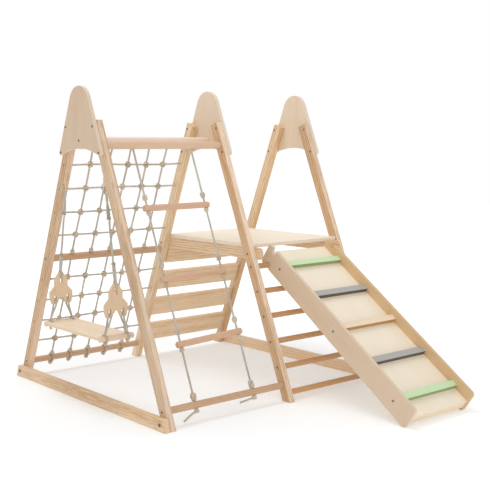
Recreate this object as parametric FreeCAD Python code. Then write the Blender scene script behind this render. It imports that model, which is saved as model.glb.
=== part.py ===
"""Wooden climbing frame: three A-frames, net, rope ladder, swing, platform and hooked-on ramp.

Millimetres, +Z up, -Y is the front (ladder and ramp side), +X runs from the swing to the ramp.
The origin is the middle of the left floor rail's underside.
"""

import math
import os

import FreeCAD
import Part

V = FreeCAD.Vector

# Eased edges
LEG_EASE = 3.0
BOARD_EASE = 2.0
TREAD_EASE = 0.8
DOWEL_EASE = 2.0

# A-frames
LEG_WIDTH = 44.0
LEG_THICK = 30.0
LEG_LENGTH = 1258.0
LEAN_DEG = 22.5
APEX_SPREAD = 211.16
NET_BAY = 581.0
PLATFORM_BAY = 508.0
FLOOR_RAIL_THICK = 24.0
FLOOR_RAIL_HEIGHT = 50.0

# Apex plates
PLATE_THICK = 18.0
PLATE_RISE = 137.76
PLATE_HEIGHT = 290.0
PLATE_ARCH = 38.0
PLATE_CORNER = 10.0

# Bars of the net bay
BAR_D = 32.0
LOW_BAR_D = 28.0
TOP_BAR_DROP = 101.24
CENTER_BAR_SET = 32.0
MIDDLE_BAR_Z = 566.0
LOW_REAR_BAR_Z = 72.0
LOW_FRONT_BAR_Z = 66.0

# Net
ROPE_D = 9.0
LOOP_D = 10.0
NET_KNOT_D = 24.0
NET_COLUMNS = 5
NET_ROWS = 4
UPPER_HIGH_GAP = 84.0
UPPER_LOW_GAP = 104.0
LOWER_END_GAP = 99.25
ROPE_HOLE_SLACK = 1.0

# Rope ladder
LADDER_INSET = 127.0
LADDER_SPREAD = 295.0
LADDER_RUNG_D = 26.0
LADDER_RUNG_LENGTH = 328.0
LADDER_HIGH_RUNG_Z = 809.0
LADDER_MIDDLE_RUNG_Z = 532.0
LADDER_LOW_RUNG_Z = 288.0
LADDER_HIGH_TILT = 2.0
LADDER_MIDDLE_TILT = 8.0
LADDER_LOW_TILT = 12.0
LADDER_KNOT_D = 20.0
LADDER_HIGH_KNOT_RISE = 44.0
LADDER_MIDDLE_KNOT_RISE = 59.0
LADDER_LOW_KNOT_RISE = 51.0
LADDER_BASE_KNOT_D = 28.0
ROPE_FIT = 0.1

# Platform bay
PLATFORM_TOP = 638.0
PLATFORM_THICK = 16.0
PLATFORM_EDGE_INSET = 2.73
PLATFORM_RAIL_HEIGHT = 50.0
PLATFORM_RAIL_THICK = 20.0
PLATFORM_RAIL_OVERHANG = 14.93
PLATFORM_RAIL_ROUND = 18.0
SLAT_WIDTH = 98.0
SLAT_THICK = 18.0
SLAT_TOP_Z = 540.0
SLAT_PITCH = 136.7
SLAT_COUNT = 4
RUNG_D = 24.0
RUNG_TOP_Z = 543.5
RUNG_PITCH = 102.0
RUNG_COUNT = 6

# Ramp, laid flat: s runs up the slope, t stands square to it
RAMP_OFFSET = 65.0
RAMP_WIDTH = 372.0
RAMP_LENGTH = 990.0
RAMP_PANEL_THICK = 15.0
RAMP_PANEL_HEIGHT = 100.0
RAMP_ROUND = 16.0
RAMP_HOOK_END = 42.0
RAMP_HOOK_DEPTH = 25.0
RAMP_BOARD_THICK = 12.0
RAMP_BOARD_INSET = 6.0
RAMP_TREAD_WIDTH = 30.0
RAMP_TREAD_HEIGHT = 18.0
RAMP_TREAD_FIRST = 94.0
RAMP_TREAD_LAST = 108.0
RAMP_TREAD_COUNT = 5
RAMP_BATTEN_WIDTH = 30.0
RAMP_BATTEN_HEIGHT = 24.0
RUNNING_GAP = 0.3

# Swing
SWING_INSET = 7.5
PIVOT_DROP = 282.24
HANGER_THROAT = 15.0
HANGER_SLOT = 11.0
HANGER_RIM = 8.0
HANGER_THICK = 14.0
HANGER_BELOW = 10.0
HANGER_ABOVE = 56.0
HANGER_ROUND = 6.0
HANGER_PIN_D = 11.0
EYE_ROOM = 3.0
SPLICE_D = 16.0
SPLICE_LENGTH = 95.0
ROCKET_INSET = 13.0
ROCKET_NOSE_Z = 518.0
ROCKET_HEIGHT = 136.0
ROCKET_BODY = 62.0
ROCKET_SHOULDER = 32.0
ROCKET_FINS = 108.0
ROCKET_FIN_ROOT = 60.0
ROCKET_FIN_TOP = 84.0
ROCKET_FIN_LOW = 110.0
ROCKET_FEET = 92.0
ROCKET_FOOT = 26.0
ROCKET_NOSE = 18.0
ROCKET_THICK = 12.0
ROCKET_RIM = 10.0
ROCKET_SLOT = 11.0
ROCKET_NOSE_SLOT = 36.0
ROCKET_LEG_SLOT = 24.0
ROCKET_LEG_SLOT_SPREAD = 60.0
ROCKET_LEG_SLOT_RISE = 24.0
ROCKET_ARCH = 26.0
ROCKET_ARCH_TOP = 16.0
ROCKET_ROUND = 6.0
NOSE_SPLICE_LENGTH = 70.0
SEAT_TOP = 308.0
SEAT_LENGTH = 458.0
SEAT_WIDTH = 150.0
SEAT_THICK = 15.0
SEAT_BAR_D = 24.0
SEAT_BAR_OVERHANG = 4.0
SEAT_ROPE_SPREAD = 104.0
SEAT_ROPE_JOIN = 40.0
SEAT_ROPE_ROOM = 1.0
SEAT_SPLICE_D = 14.0
SEAT_KNOT_D = 15.0

# Fasteners: heads that stand on the wood
SCREW_HEAD_D = 9.0
SCREW_HEAD_RISE = 1.6
BOLT_HEAD_D = 13.0
BOLT_HEAD_RISE = 3.0
PLATE_SCREW_HIGH = 165.0
PLATE_SCREW_LOW = 21.0
PLATE_SCREW_EDGE = 12.4
RAMP_SCREW_LOW = 100.0
RAMP_SCREW_HIGH = 114.0

# Free rope tails, points from the middle of the ladder rope's lowest knot, as seen in the photo
TAIL_LEFT = ((-8.5, 2.0, -4.8), (-27.3, 6.4, -15.4), (-51.0, 13.2, -36.6))
TAIL_RIGHT = ((-8.9, 3.5, -2.8), (-30.3, 11.9, -9.5), (-58.3, 21.9, -16.4))

# Places that follow from the sizes
SIN = math.sin(math.radians(LEAN_DEG))
COS = math.cos(math.radians(LEAN_DEG))
TAN = SIN / COS
REAR = 1
FRONT = -1
LEG_TOP_Z = LEG_LENGTH * COS
FOOT_SPREAD = APEX_SPREAD + 2 * LEG_LENGTH * SIN
PLATE_TOP = LEG_TOP_Z + PLATE_RISE
PLATE_BOTTOM = PLATE_TOP - PLATE_HEIGHT
TOP_BAR_Z = LEG_TOP_Z - TOP_BAR_DROP
CENTER_BAR_Z = PLATE_BOTTOM + PLATE_ARCH + CENTER_BAR_SET
PIVOT_Z = LEG_TOP_Z - PIVOT_DROP
SWING_HALF = SEAT_LENGTH / 2 - ROCKET_INSET
LADDER_RUNG_Z = (LADDER_HIGH_RUNG_Z, LADDER_MIDDLE_RUNG_Z, LADDER_LOW_RUNG_Z)
LADDER_KNOT_RISE = (LADDER_HIGH_KNOT_RISE, LADDER_MIDDLE_KNOT_RISE, LADDER_LOW_KNOT_RISE)
LADDER_TILT = (LADDER_HIGH_TILT, LADDER_MIDDLE_TILT, LADDER_LOW_TILT)
LEFT_X = FLOOR_RAIL_THICK / 2
LEFT_IN = LEFT_X + LEG_THICK
MIDDLE_X = LEFT_IN + NET_BAY
MIDDLE_IN = MIDDLE_X + LEG_THICK
RIGHT_X = MIDDLE_IN + PLATFORM_BAY
RIGHT_OUT = RIGHT_X + LEG_THICK
SWING_X = LEFT_X + SWING_INSET
LADDER_X = (LEFT_IN + LADDER_INSET, LEFT_IN + LADDER_INSET + LADDER_SPREAD)
RUNG_Z = [RUNG_TOP_Z - RUNG_PITCH * i for i in range(RUNG_COUNT)]


def outer_y(side, z):
    """Y of the legs' outer edge at a height."""
    return side * (FOOT_SPREAD / 2 - z * TAN)


def mid_y(side, z):
    """Y of the legs' middle line at a height."""
    return outer_y(side, z) - side * LEG_WIDTH / (2 * COS)


def inner_y(side, z):
    """Y of the legs' inner edge at a height."""
    return outer_y(side, z) - side * LEG_WIDTH / COS


def up_slope(side):
    """Unit vector up a slope."""
    return V(0, -side * SIN, COS)


def out_slope(side):
    """Unit vector square to a slope, pointing outward."""
    return V(0, side * COS, SIN)


def on_slope(side, x, z):
    """Point on a slope's middle plane."""
    return V(x, mid_y(side, z), z)


def prism_x(points, x0, x1):
    """Polygon given as (y, z) points, run along X from x0 to x1."""
    corners = [V(x0, y, z) for y, z in points]
    face = Part.Face(Part.makePolygon(corners + corners[:1]))
    return face.extrude(V(x1 - x0, 0, 0))


def box(x0, x1, y0, y1, z0, z1):
    """Block between two corners."""
    return Part.makeBox(x1 - x0, y1 - y0, z1 - z0, V(x0, y0, z0))


def rod(p0, p1, diameter):
    """Round bar between two points."""
    run = p1 - p0
    return Part.makeCylinder(diameter / 2, run.Length, p0, run)


def bar_x(x0, x1, y, z, diameter):
    """Round bar along X."""
    return rod(V(x0, y, z), V(x1, y, z), diameter)


def ball(center, diameter):
    """Sphere."""
    return Part.makeSphere(diameter / 2, center)


def round_edges(shape, direction, radius, wanted):
    """Round the straight edges along a direction whose middle passes the wanted test."""
    edges = []
    for edge in shape.Edges:
        ends = [vertex.Point for vertex in edge.Vertexes]
        if len(ends) != 2 or edge.Curve.TypeId != "Part::GeomLine":
            continue
        run = (ends[1] - ends[0]).normalize()
        if abs(abs(run.dot(direction)) - 1) < 1e-6 and wanted((ends[0] + ends[1]) * 0.5):
            edges.append(edge)
    return shape.makeFillet(radius, edges)


def ease(shape, axis, places, radius):
    """Round the outlines of a board's faces, which lie at the given places along an axis."""
    edges = []
    for edge in shape.Edges:
        first, last = edge.FirstParameter, edge.LastParameter
        spots = [edge.valueAt(first + (last - first) * share) for share in (0.0, 0.5, 1.0)]
        if any(all(abs(spot.dot(axis) - place) < 1e-4 for spot in spots) for place in places):
            edges.append(edge)
    return shape.makeFillet(radius, edges)


def dowel_x(x0, x1, y, z, diameter):
    """Round bar along X with eased ends."""
    bar = bar_x(x0, x1, y, z, diameter)
    return ease(bar, V(1, 0, 0), (x0, x1), DOWEL_EASE)


def save(name, shape):
    """Write one node."""
    shape.exportStep(os.path.join("parts", name + ".step"))


def leg(side, x0):
    """Leaning leg with a flat foot and a square top."""
    foot = (outer_y(side, 0), 0)
    top = (outer_y(side, LEG_LENGTH * COS), LEG_LENGTH * COS)
    inner_top = (top[0] - side * LEG_WIDTH * COS, top[1] - LEG_WIDTH * SIN)
    inner_foot = (inner_y(side, 0), 0)
    post = prism_x([foot, top, inner_top, inner_foot], x0, x0 + LEG_THICK)
    return round_edges(post, up_slope(side), LEG_EASE, lambda p: True)


def net_row_z():
    """Heights of the net's level ropes, upper panel first."""
    panels = []
    upper = (TOP_BAR_Z - UPPER_HIGH_GAP, MIDDLE_BAR_Z + UPPER_LOW_GAP)
    lower = (MIDDLE_BAR_Z - LOWER_END_GAP, LOW_REAR_BAR_Z + LOWER_END_GAP)
    for first, last in (upper, lower):
        pitch = (first - last) / (NET_ROWS - 1)
        panels.append([first - pitch * i for i in range(NET_ROWS)])
    return panels


def rope_holed(leg_shape, x0):
    """Rear leg drilled where the net's level ropes enter it."""
    holes = []
    for rows in net_row_z():
        for z in rows:
            holes.append(bar_x(x0 - 1, x0 + LEG_THICK + 1, mid_y(REAR, z), z, ROPE_D + ROPE_HOLE_SLACK))
    return leg_shape.cut(holes)


def apex_plate(x0):
    """Plate over the leg tops: round nose, sides on the legs' outer edges, arched underside."""
    meet_z = FOOT_SPREAD / 2 / TAN
    nose_z = (PLATE_TOP - meet_z * SIN) / (1 - SIN)
    nose_r = PLATE_TOP - nose_z
    tangent_y = nose_r * COS
    tangent_z = nose_z + nose_r * SIN
    corner_y = outer_y(REAR, PLATE_BOTTOM)
    rear_corner = V(x0, corner_y, PLATE_BOTTOM)
    front_corner = V(x0, -corner_y, PLATE_BOTTOM)
    rear_tangent = V(x0, tangent_y, tangent_z)
    front_tangent = V(x0, -tangent_y, tangent_z)
    edges = [
        Part.Arc(rear_corner, V(x0, 0, PLATE_BOTTOM + PLATE_ARCH), front_corner).toShape(),
        Part.makeLine(front_corner, front_tangent),
        Part.Arc(front_tangent, V(x0, 0, PLATE_TOP), rear_tangent).toShape(),
        Part.makeLine(rear_tangent, rear_corner),
    ]
    plate = Part.Face(Part.Wire(edges)).extrude(V(PLATE_THICK, 0, 0))
    plate = round_edges(plate, V(1, 0, 0), PLATE_CORNER, lambda p: abs(p.z - PLATE_BOTTOM) < 1e-4)
    return ease(plate, V(1, 0, 0), (x0, x0 + PLATE_THICK), BOARD_EASE)


def floor_rail(x0):
    """Board on the floor that joins the two feet of an A-frame."""
    top = outer_y(REAR, FLOOR_RAIL_HEIGHT)
    foot = outer_y(REAR, 0)
    outline = [(foot, 0), (top, FLOOR_RAIL_HEIGHT), (-top, FLOOR_RAIL_HEIGHT), (-foot, 0)]
    rail = prism_x(outline, x0, x0 + FLOOR_RAIL_THICK)
    return round_edges(rail, V(0, 1, 0), LEG_EASE, lambda p: p.z > FLOOR_RAIL_HEIGHT / 2)


def net_cell(x0, x1, low, high, round_corners):
    """Cutter for one gap of the net, with the four knots left standing at its corners.

    low and high are distances up the rear slope; round_corners says which of the corners
    (x0 low, x1 low, x1 high, x0 high) have a knot.
    """
    half = ROPE_D / 2
    reach = math.sqrt((NET_KNOT_D / 2) ** 2 - half ** 2)
    bulge = NET_KNOT_D / 2 * math.sqrt(0.5)
    crossings = ((x0, low, 1, 1), (x1, low, -1, 1), (x1, high, -1, -1), (x0, high, 1, -1))
    edges = []
    last = None
    first = None
    for index, (x, s, toward_x, toward_s) in enumerate(crossings):
        along_x = V(x + toward_x * reach, s + toward_s * half, 0)
        along_s = V(x + toward_x * half, s + toward_s * reach, 0)
        if index % 2:
            start, end = along_x, along_s
        else:
            start, end = along_s, along_x
        if not round_corners[index]:
            start = V(x + toward_x * half, s + toward_s * half, 0)
            end = start
        if last is not None:
            edges.append(Part.makeLine(last, start))
        else:
            first = start
        if round_corners[index]:
            edges.append(Part.Arc(start, V(x + toward_x * bulge, s + toward_s * bulge, 0), end).toShape())
        last = end
    edges.append(Part.makeLine(last, first))
    face = Part.Face(Part.Wire(edges))
    return face.extrude(V(0, 0, 4 * ROPE_D)).translate(V(0, 0, -2 * ROPE_D))


def net_panel(rows, high_z, high_d, low_z, low_d, knots_under):
    """One net panel between two bars: a slab with a gap cut out between every pair of ropes.

    It is laid out flat (X along the bars, Y up the slope) and then turned onto the rear slope.
    The ropes end on the bars. A knot stands on the lower bar at each hanging rope. With knots_under the
    rope also goes round that bar and ends in a knot under it.
    """
    pitch = NET_BAY / (NET_COLUMNS + 1)
    ropes = [LEFT_IN + pitch * (i + 1) for i in range(NET_COLUMNS)]
    low_s = low_z / COS
    high_s = high_z / COS
    past = ROPE_D
    levels = [z / COS for z in rows][::-1]
    columns = [LEFT_IN - past] + ropes + [MIDDLE_X + past]
    heights = [low_s - past] + levels + [high_s + past]
    cutters = []
    for i in range(len(columns) - 1):
        left = i > 0
        right = i < len(columns) - 2
        for j in range(len(heights) - 1):
            low = j > 0
            high = j < len(heights) - 2
            corners = (left and low, right and low, right and high, left and high)
            cutters.append(net_cell(columns[i], columns[i + 1], heights[j], heights[j + 1], corners))
    panel = box(LEFT_IN, MIDDLE_X, low_s, high_s, -ROPE_D / 2, ROPE_D / 2).cut(cutters)
    knot_s = low_s + (low_d + NET_KNOT_D) / 2
    discs = [Part.makeCylinder(NET_KNOT_D / 2, ROPE_D, V(x, knot_s, -ROPE_D / 2)) for x in ropes]
    panel = panel.fuse(discs).removeSplitter()
    panel.rotate(V(0, 0, 0), V(1, 0, 0), 90 + LEAN_DEG)
    panel.translate(V(0, mid_y(REAR, 0), 0))
    for z, diameter in ((high_z, high_d), (low_z, low_d)):
        panel = panel.cut(bar_x(LEFT_IN, MIDDLE_X, mid_y(REAR, z), z, diameter))
    if not knots_under:
        return panel
    ring_mid = (low_d + ROPE_D) / 2 + ROPE_FIT
    below = up_slope(REAR) * (ring_mid + 0.4 * LADDER_KNOT_D)
    ends = []
    for x in ropes:
        middle = on_slope(REAR, x, low_z)
        ends.append(Part.makeTorus(ring_mid, ROPE_D / 2, middle, V(1, 0, 0)))
        ends.append(ball(middle - below, LADDER_KNOT_D))
    return panel.fuse(ends)


def knot_seat(bar_d, knot_d):
    """Distance from a drilled bar's axis to the middle of a knot that stands on the hole's rim."""
    hole_r = ROPE_D / 2 + ROPE_FIT
    return bar_d / 2 + math.sqrt((knot_d / 2) ** 2 - hole_r ** 2)


def ladder_end(x):
    """Middle of a ladder rope's lowest knot."""
    return on_slope(FRONT, x, LOW_FRONT_BAR_Z) - up_slope(FRONT) * knot_seat(LOW_BAR_D, LADDER_KNOT_D)


def rung_z(index, x):
    """Height of a ladder rung's axis at a rope: the right end hangs a little higher."""
    return LADDER_RUNG_Z[index] + LADDER_TILT[index] * (x - LADDER_X[0]) / LADDER_SPREAD


def ladder_rope(x):
    """Taut ladder rope with a knot above and under each rung and at the bottom bar.

    The rungs hang on the knots under them; the knots above stand clear.
    """
    up = up_slope(FRONT)
    top = on_slope(FRONT, x, TOP_BAR_Z)
    foot = on_slope(FRONT, x, LOW_FRONT_BAR_Z)
    end = ladder_end(x)
    base = foot + up * knot_seat(LOW_BAR_D, LADDER_BASE_KNOT_D)
    pieces = [ball(end, LADDER_KNOT_D), ball(base, LADDER_BASE_KNOT_D)]
    for index, rise in enumerate(LADDER_KNOT_RISE):
        rung = on_slope(FRONT, x, rung_z(index, x))
        askew = ROPE_D / 2 * abs(LADDER_TILT[index]) / (COS * LADDER_SPREAD)
        seat = knot_seat(LADDER_RUNG_D, LADDER_KNOT_D) + askew
        for along in (rise, -seat):
            pieces.append(ball(rung + up * along, LADDER_KNOT_D))
    rope = rod(end, top, ROPE_D).fuse(pieces)
    return rope.cut(bar_x(LEFT_IN, MIDDLE_X, top.y, top.z, BAR_D))


def rope_drilled(bar_shape, heights):
    """Bar of the front slope with a hole for each ladder rope, at the bar's height there."""
    up = up_slope(FRONT)
    holes = []
    for x, z in zip(LADDER_X, heights):
        middle = on_slope(FRONT, x, z)
        holes.append(rod(middle - up * BAR_D, middle + up * BAR_D, ROPE_D + 2 * ROPE_FIT))
    return bar_shape.cut(holes)


def ladder_rung(index):
    """Ladder rung, tilted in the slope about the left rope and drilled for both ropes."""
    z = LADDER_RUNG_Z[index]
    middle = (LADDER_X[0] + LADDER_X[1]) / 2
    half = LADDER_RUNG_LENGTH / 2
    bar = dowel_x(middle - half, middle + half, mid_y(FRONT, z), z, LADDER_RUNG_D)
    tilt = math.degrees(math.atan2(LADDER_TILT[index] / COS, LADDER_SPREAD))
    bar.rotate(on_slope(FRONT, LADDER_X[0], z), out_slope(FRONT), tilt)
    return rope_drilled(bar, [rung_z(index, x) for x in LADDER_X])


def cord_tube(origin, points, diameter, name):
    """Free rope: straight runs joined by tangent arcs, swept with a round section."""
    spots = [origin + V(*p) for p in points]
    edges = []
    start = spots[0]
    length = 0.0
    for before, corner, after in zip(spots[:-2], spots[1:-1], spots[2:]):
        back = before - corner
        ahead = after - corner
        shorter = min(back.Length, ahead.Length)
        back.normalize()
        ahead.normalize()
        half_turn = (math.pi - back.getAngle(ahead)) / 2
        set_back = 0.45 * shorter
        radius = set_back / math.tan(half_turn)
        arc_in = corner + back * set_back
        arc_out = corner + ahead * set_back
        inward = (back + ahead).normalize()
        top = corner + inward * (radius / math.cos(half_turn) - radius)
        edges.append(Part.makeLine(start, arc_in))
        edges.append(Part.Arc(arc_in, top, arc_out).toShape())
        length += (arc_in - start).Length + radius * 2 * half_turn
        start = arc_out
        print(name, "bend radius", round(radius, 1), "diameters", round(radius / diameter, 1))
    edges.append(Part.makeLine(start, spots[-1]))
    length += (spots[-1] - start).Length
    path = Part.Wire(edges)
    section = Part.Wire(Part.makeCircle(diameter / 2, spots[0], spots[1] - spots[0]))
    tube = path.makePipeShell([section], True, True)
    ideal = math.pi * diameter ** 2 / 4 * length
    print(name, "length", round(length, 1), "volume ratio", round(tube.Volume / ideal, 4))
    return tube


def slat(index):
    """Rear slat lying in the slope of the legs; the top one fits between the platform rails."""
    z = SLAT_TOP_Z - SLAT_PITCH * index
    center = on_slope(REAR, 0, z)
    up = up_slope(REAR) * (SLAT_WIDTH / 2)
    out = out_slope(REAR) * (SLAT_THICK / 2)
    corners = [center + up + out, center + up - out, center - up - out, center - up + out]
    inset = PLATFORM_RAIL_THICK if index == 0 else 0.0
    board = prism_x([(p.y, p.z) for p in corners], MIDDLE_IN + inset, RIGHT_X - inset)
    return round_edges(board, V(1, 0, 0), LEG_EASE, lambda p: True)


def platform_rail(x0):
    """Rail under one side of the platform, with rounded ends."""
    top = PLATFORM_TOP - PLATFORM_THICK
    half = outer_y(REAR, top - PLATFORM_RAIL_HEIGHT) + PLATFORM_RAIL_OVERHANG
    rail = box(x0, x0 + PLATFORM_RAIL_THICK, -half, half, top - PLATFORM_RAIL_HEIGHT, top)
    rail = round_edges(rail, V(1, 0, 0), PLATFORM_RAIL_ROUND, lambda p: True)
    return ease(rail, V(1, 0, 0), (x0, x0 + PLATFORM_RAIL_THICK), BOARD_EASE)


# Ramp
RAMP_HOOK_S = RAMP_LENGTH - RAMP_HOOK_END
RAMP_TREAD_PITCH = (RAMP_LENGTH - RAMP_TREAD_FIRST - RAMP_TREAD_LAST) / (RAMP_TREAD_COUNT - 1)
HOOK_R = RUNG_D / 2 + RUNNING_GAP
HOOK_T = RAMP_HOOK_DEPTH - HOOK_R
RAMP_LEFT = MIDDLE_IN + RAMP_OFFSET
RAMP_RIGHT = RAMP_LEFT + RAMP_WIDTH
RAMP_IN = (RAMP_LEFT + RAMP_PANEL_THICK, RAMP_RIGHT - RAMP_PANEL_THICK)
RAMP_BOARD_T = (RAMP_PANEL_HEIGHT - RAMP_BOARD_THICK) / 2
TOE_RUN = V(0, RAMP_HOOK_S - RAMP_ROUND, HOOK_T - RAMP_ROUND)
TOE_RISE = RUNG_TOP_Z - RAMP_ROUND
RAMP_SLOPE = math.degrees(math.asin(TOE_RISE / TOE_RUN.Length) - math.atan2(TOE_RUN.z, TOE_RUN.y))


def on_ramp(shape):
    """Turn a piece drawn flat (Y up the slope, Z square to it) onto the ramp hooked on the top rung."""
    shape.rotate(V(0, 0, 0), V(1, 0, 0), RAMP_SLOPE)
    hook = FreeCAD.Rotation(V(1, 0, 0), RAMP_SLOPE).multVec(V(0, RAMP_HOOK_S, HOOK_T))
    shape.translate(on_slope(FRONT, 0, RUNG_TOP_Z) - hook)
    return shape


def ramp_panel(x0):
    """Side panel with a hook notch in each long edge, so that it can be hung either way up."""
    x1 = x0 + RAMP_PANEL_THICK
    panel = box(x0, x1, 0, RAMP_LENGTH, 0, RAMP_PANEL_HEIGHT)
    panel = round_edges(panel, V(1, 0, 0), RAMP_ROUND, lambda p: True)
    for edge_t, hook_t in ((0, HOOK_T), (RAMP_PANEL_HEIGHT, RAMP_PANEL_HEIGHT - HOOK_T)):
        low, high = sorted((edge_t + (edge_t - hook_t), hook_t))
        mouth = box(x0 - 1, x1 + 1, RAMP_HOOK_S - HOOK_R, RAMP_HOOK_S + HOOK_R, low, high)
        seat = bar_x(x0 - 1, x1 + 1, RAMP_HOOK_S, hook_t, 2 * HOOK_R)
        panel = panel.cut(mouth.fuse(seat).removeSplitter())
    return on_ramp(ease(panel, V(1, 0, 0), (x0, x1), BOARD_EASE))


def ramp_tread(index):
    """Cross strip on the ramp's board."""
    s = RAMP_TREAD_FIRST + RAMP_TREAD_PITCH * index
    low = RAMP_BOARD_T + RAMP_BOARD_THICK
    half = RAMP_TREAD_WIDTH / 2
    strip = box(RAMP_IN[0], RAMP_IN[1], s - half, s + half, low, low + RAMP_TREAD_HEIGHT)
    return on_ramp(round_edges(strip, V(1, 0, 0), TREAD_EASE, lambda p: p.z > low + RAMP_TREAD_HEIGHT / 2))


def ramp_screws():
    """Screw heads on the outside of both ramp panels."""
    heads = []
    t = RAMP_PANEL_HEIGHT / 2
    high = RAMP_LENGTH - RAMP_SCREW_HIGH
    for s in (RAMP_SCREW_LOW, (RAMP_SCREW_LOW + high) / 2, high):
        for x0, x1 in ((RAMP_LEFT, RAMP_LEFT - SCREW_HEAD_RISE), (RAMP_RIGHT, RAMP_RIGHT + SCREW_HEAD_RISE)):
            heads.append(on_ramp(bar_x(x0, x1, s, t, SCREW_HEAD_D)))
    return Part.makeCompound(heads)


# Swing
PIN_R = HANGER_PIN_D / 2
EYE_IN = PIN_R + RUNNING_GAP
EYE_MID = EYE_IN + LOOP_D / 2
NOSE_LOOP_IN = math.hypot(ROCKET_THICK, ROCKET_RIM) / 2 + ROPE_FIT
NOSE_LOOP_MID = NOSE_LOOP_IN + LOOP_D / 2
SEAT_BAR_Z = SEAT_TOP - SEAT_THICK / 2
SEAT_BAR_Y = SEAT_LENGTH / 2 - SEAT_BAR_D / 2
SEAT_BAR_LENGTH = SEAT_WIDTH + 2 * SEAT_BAR_OVERHANG
SEAT_RING_MID = SEAT_BAR_D / 2 + ROPE_FIT + LOOP_D / 2


def rope_eye_y(side):
    """Y of the swing rope's eye on its hanger pin."""
    return inner_y(side, PIVOT_Z) - side * HANGER_THROAT


def hanger(side):
    """Bracket on a left leg's inner edge with a round pin for the rope's eye."""
    eye_y = rope_eye_y(side)
    low_z = PIVOT_Z - HANGER_BELOW
    high_z = PIVOT_Z + HANGER_ABOVE
    rim_y = eye_y - side * (HANGER_SLOT / 2 + HANGER_RIM)
    slot_z = PIVOT_Z + EYE_IN + LOOP_D + EYE_ROOM
    outline = [
        (inner_y(side, low_z), low_z),
        (rim_y, low_z),
        (rim_y, slot_z + HANGER_RIM),
        (inner_y(side, high_z), high_z),
    ]
    x0 = SWING_X - HANGER_THICK / 2
    x1 = SWING_X + HANGER_THICK / 2
    plate = prism_x(outline, x0, x1)
    plate = round_edges(plate, V(1, 0, 0), HANGER_ROUND, lambda p: abs(p.y - rim_y) < 0.01)
    slot = box(x0 - 1, x1 + 1, eye_y - HANGER_SLOT / 2, eye_y + HANGER_SLOT / 2, low_z - 1, slot_z)
    pin_ends = (rim_y + side * HANGER_RIM / 2, eye_y + side * (HANGER_SLOT / 2 + 1))
    pin = rod(V(SWING_X, pin_ends[0], PIVOT_Z), V(SWING_X, pin_ends[1], PIVOT_Z), HANGER_PIN_D)
    return plate.cut(slot).fuse(pin).removeSplitter()


def swing_rope(side):
    """Hanging rope: eye on the pin, splice, run, second splice and loop through the rocket's nose."""
    eye = V(SWING_X, rope_eye_y(side), PIVOT_Z)
    nose = V(SWING_X, side * SWING_HALF, ROCKET_NOSE_Z - ROCKET_RIM / 2)
    start = eye - V(0, 0, EYE_MID)
    end = nose + V(0, 0, NOSE_LOOP_MID)
    run = (end - start).normalize()
    eye_ring = Part.makeTorus(EYE_MID, LOOP_D / 2, eye, V(0, 1, 0))
    nose_ring = Part.makeTorus(NOSE_LOOP_MID, LOOP_D / 2, nose, V(1, 0, 0))
    splice = rod(start + run * ROPE_D, start + run * (ROPE_D + SPLICE_LENGTH), SPLICE_D)
    nose_splice = rod(end - run * (NOSE_SPLICE_LENGTH + ROPE_D / 2), end - run * (ROPE_D / 2), SPLICE_D)
    return rod(start, end, ROPE_D).fuse([eye_ring, splice, nose_splice, nose_ring])


def rocket(side):
    """Flat rocket shape cut from board, facing along the swing's length."""
    y0 = side * SWING_HALF - ROCKET_THICK / 2
    low = ROCKET_NOSE_Z - ROCKET_HEIGHT
    half = [
        (ROCKET_NOSE / 2, ROCKET_NOSE_Z),
        (ROCKET_BODY / 2, ROCKET_NOSE_Z - ROCKET_SHOULDER),
        (ROCKET_BODY / 2, ROCKET_NOSE_Z - ROCKET_FIN_ROOT),
        (ROCKET_FINS / 2, ROCKET_NOSE_Z - ROCKET_FIN_TOP),
        (ROCKET_FINS / 2, ROCKET_NOSE_Z - ROCKET_FIN_LOW),
        (ROCKET_FEET / 2, low),
        (ROCKET_FEET / 2 - ROCKET_FOOT, low),
        (ROCKET_ARCH_TOP / 2, low + ROCKET_ARCH),
    ]
    outline = half + [(-x, z) for x, z in half[::-1]]
    corners = [V(SWING_X + x, y0, z) for x, z in outline]
    plate = Part.Face(Part.makePolygon(corners + corners[:1])).extrude(V(0, ROCKET_THICK, 0))
    plate = round_edges(plate, V(0, 1, 0), ROCKET_ROUND, lambda p: True)
    plate = ease(plate, V(0, 1, 0), (y0, y0 + ROCKET_THICK), BOARD_EASE)
    top = ROCKET_NOSE_Z - ROCKET_RIM
    slots = [(0.0, top - ROCKET_NOSE_SLOT, top)]
    slot_z = low + ROCKET_LEG_SLOT_RISE
    for way in (-1, 1):
        slot_ends = (slot_z - ROCKET_LEG_SLOT / 2, slot_z + ROCKET_LEG_SLOT / 2)
        slots.append((way * ROCKET_LEG_SLOT_SPREAD / 2, *slot_ends))
    for x, z0, z1 in slots:
        x0 = SWING_X + x - ROCKET_SLOT / 2
        cutter = box(x0, x0 + ROCKET_SLOT, y0 - 1, y0 + ROCKET_THICK + 1, z0, z1)
        plate = plate.cut(cutter)
    return plate


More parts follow.
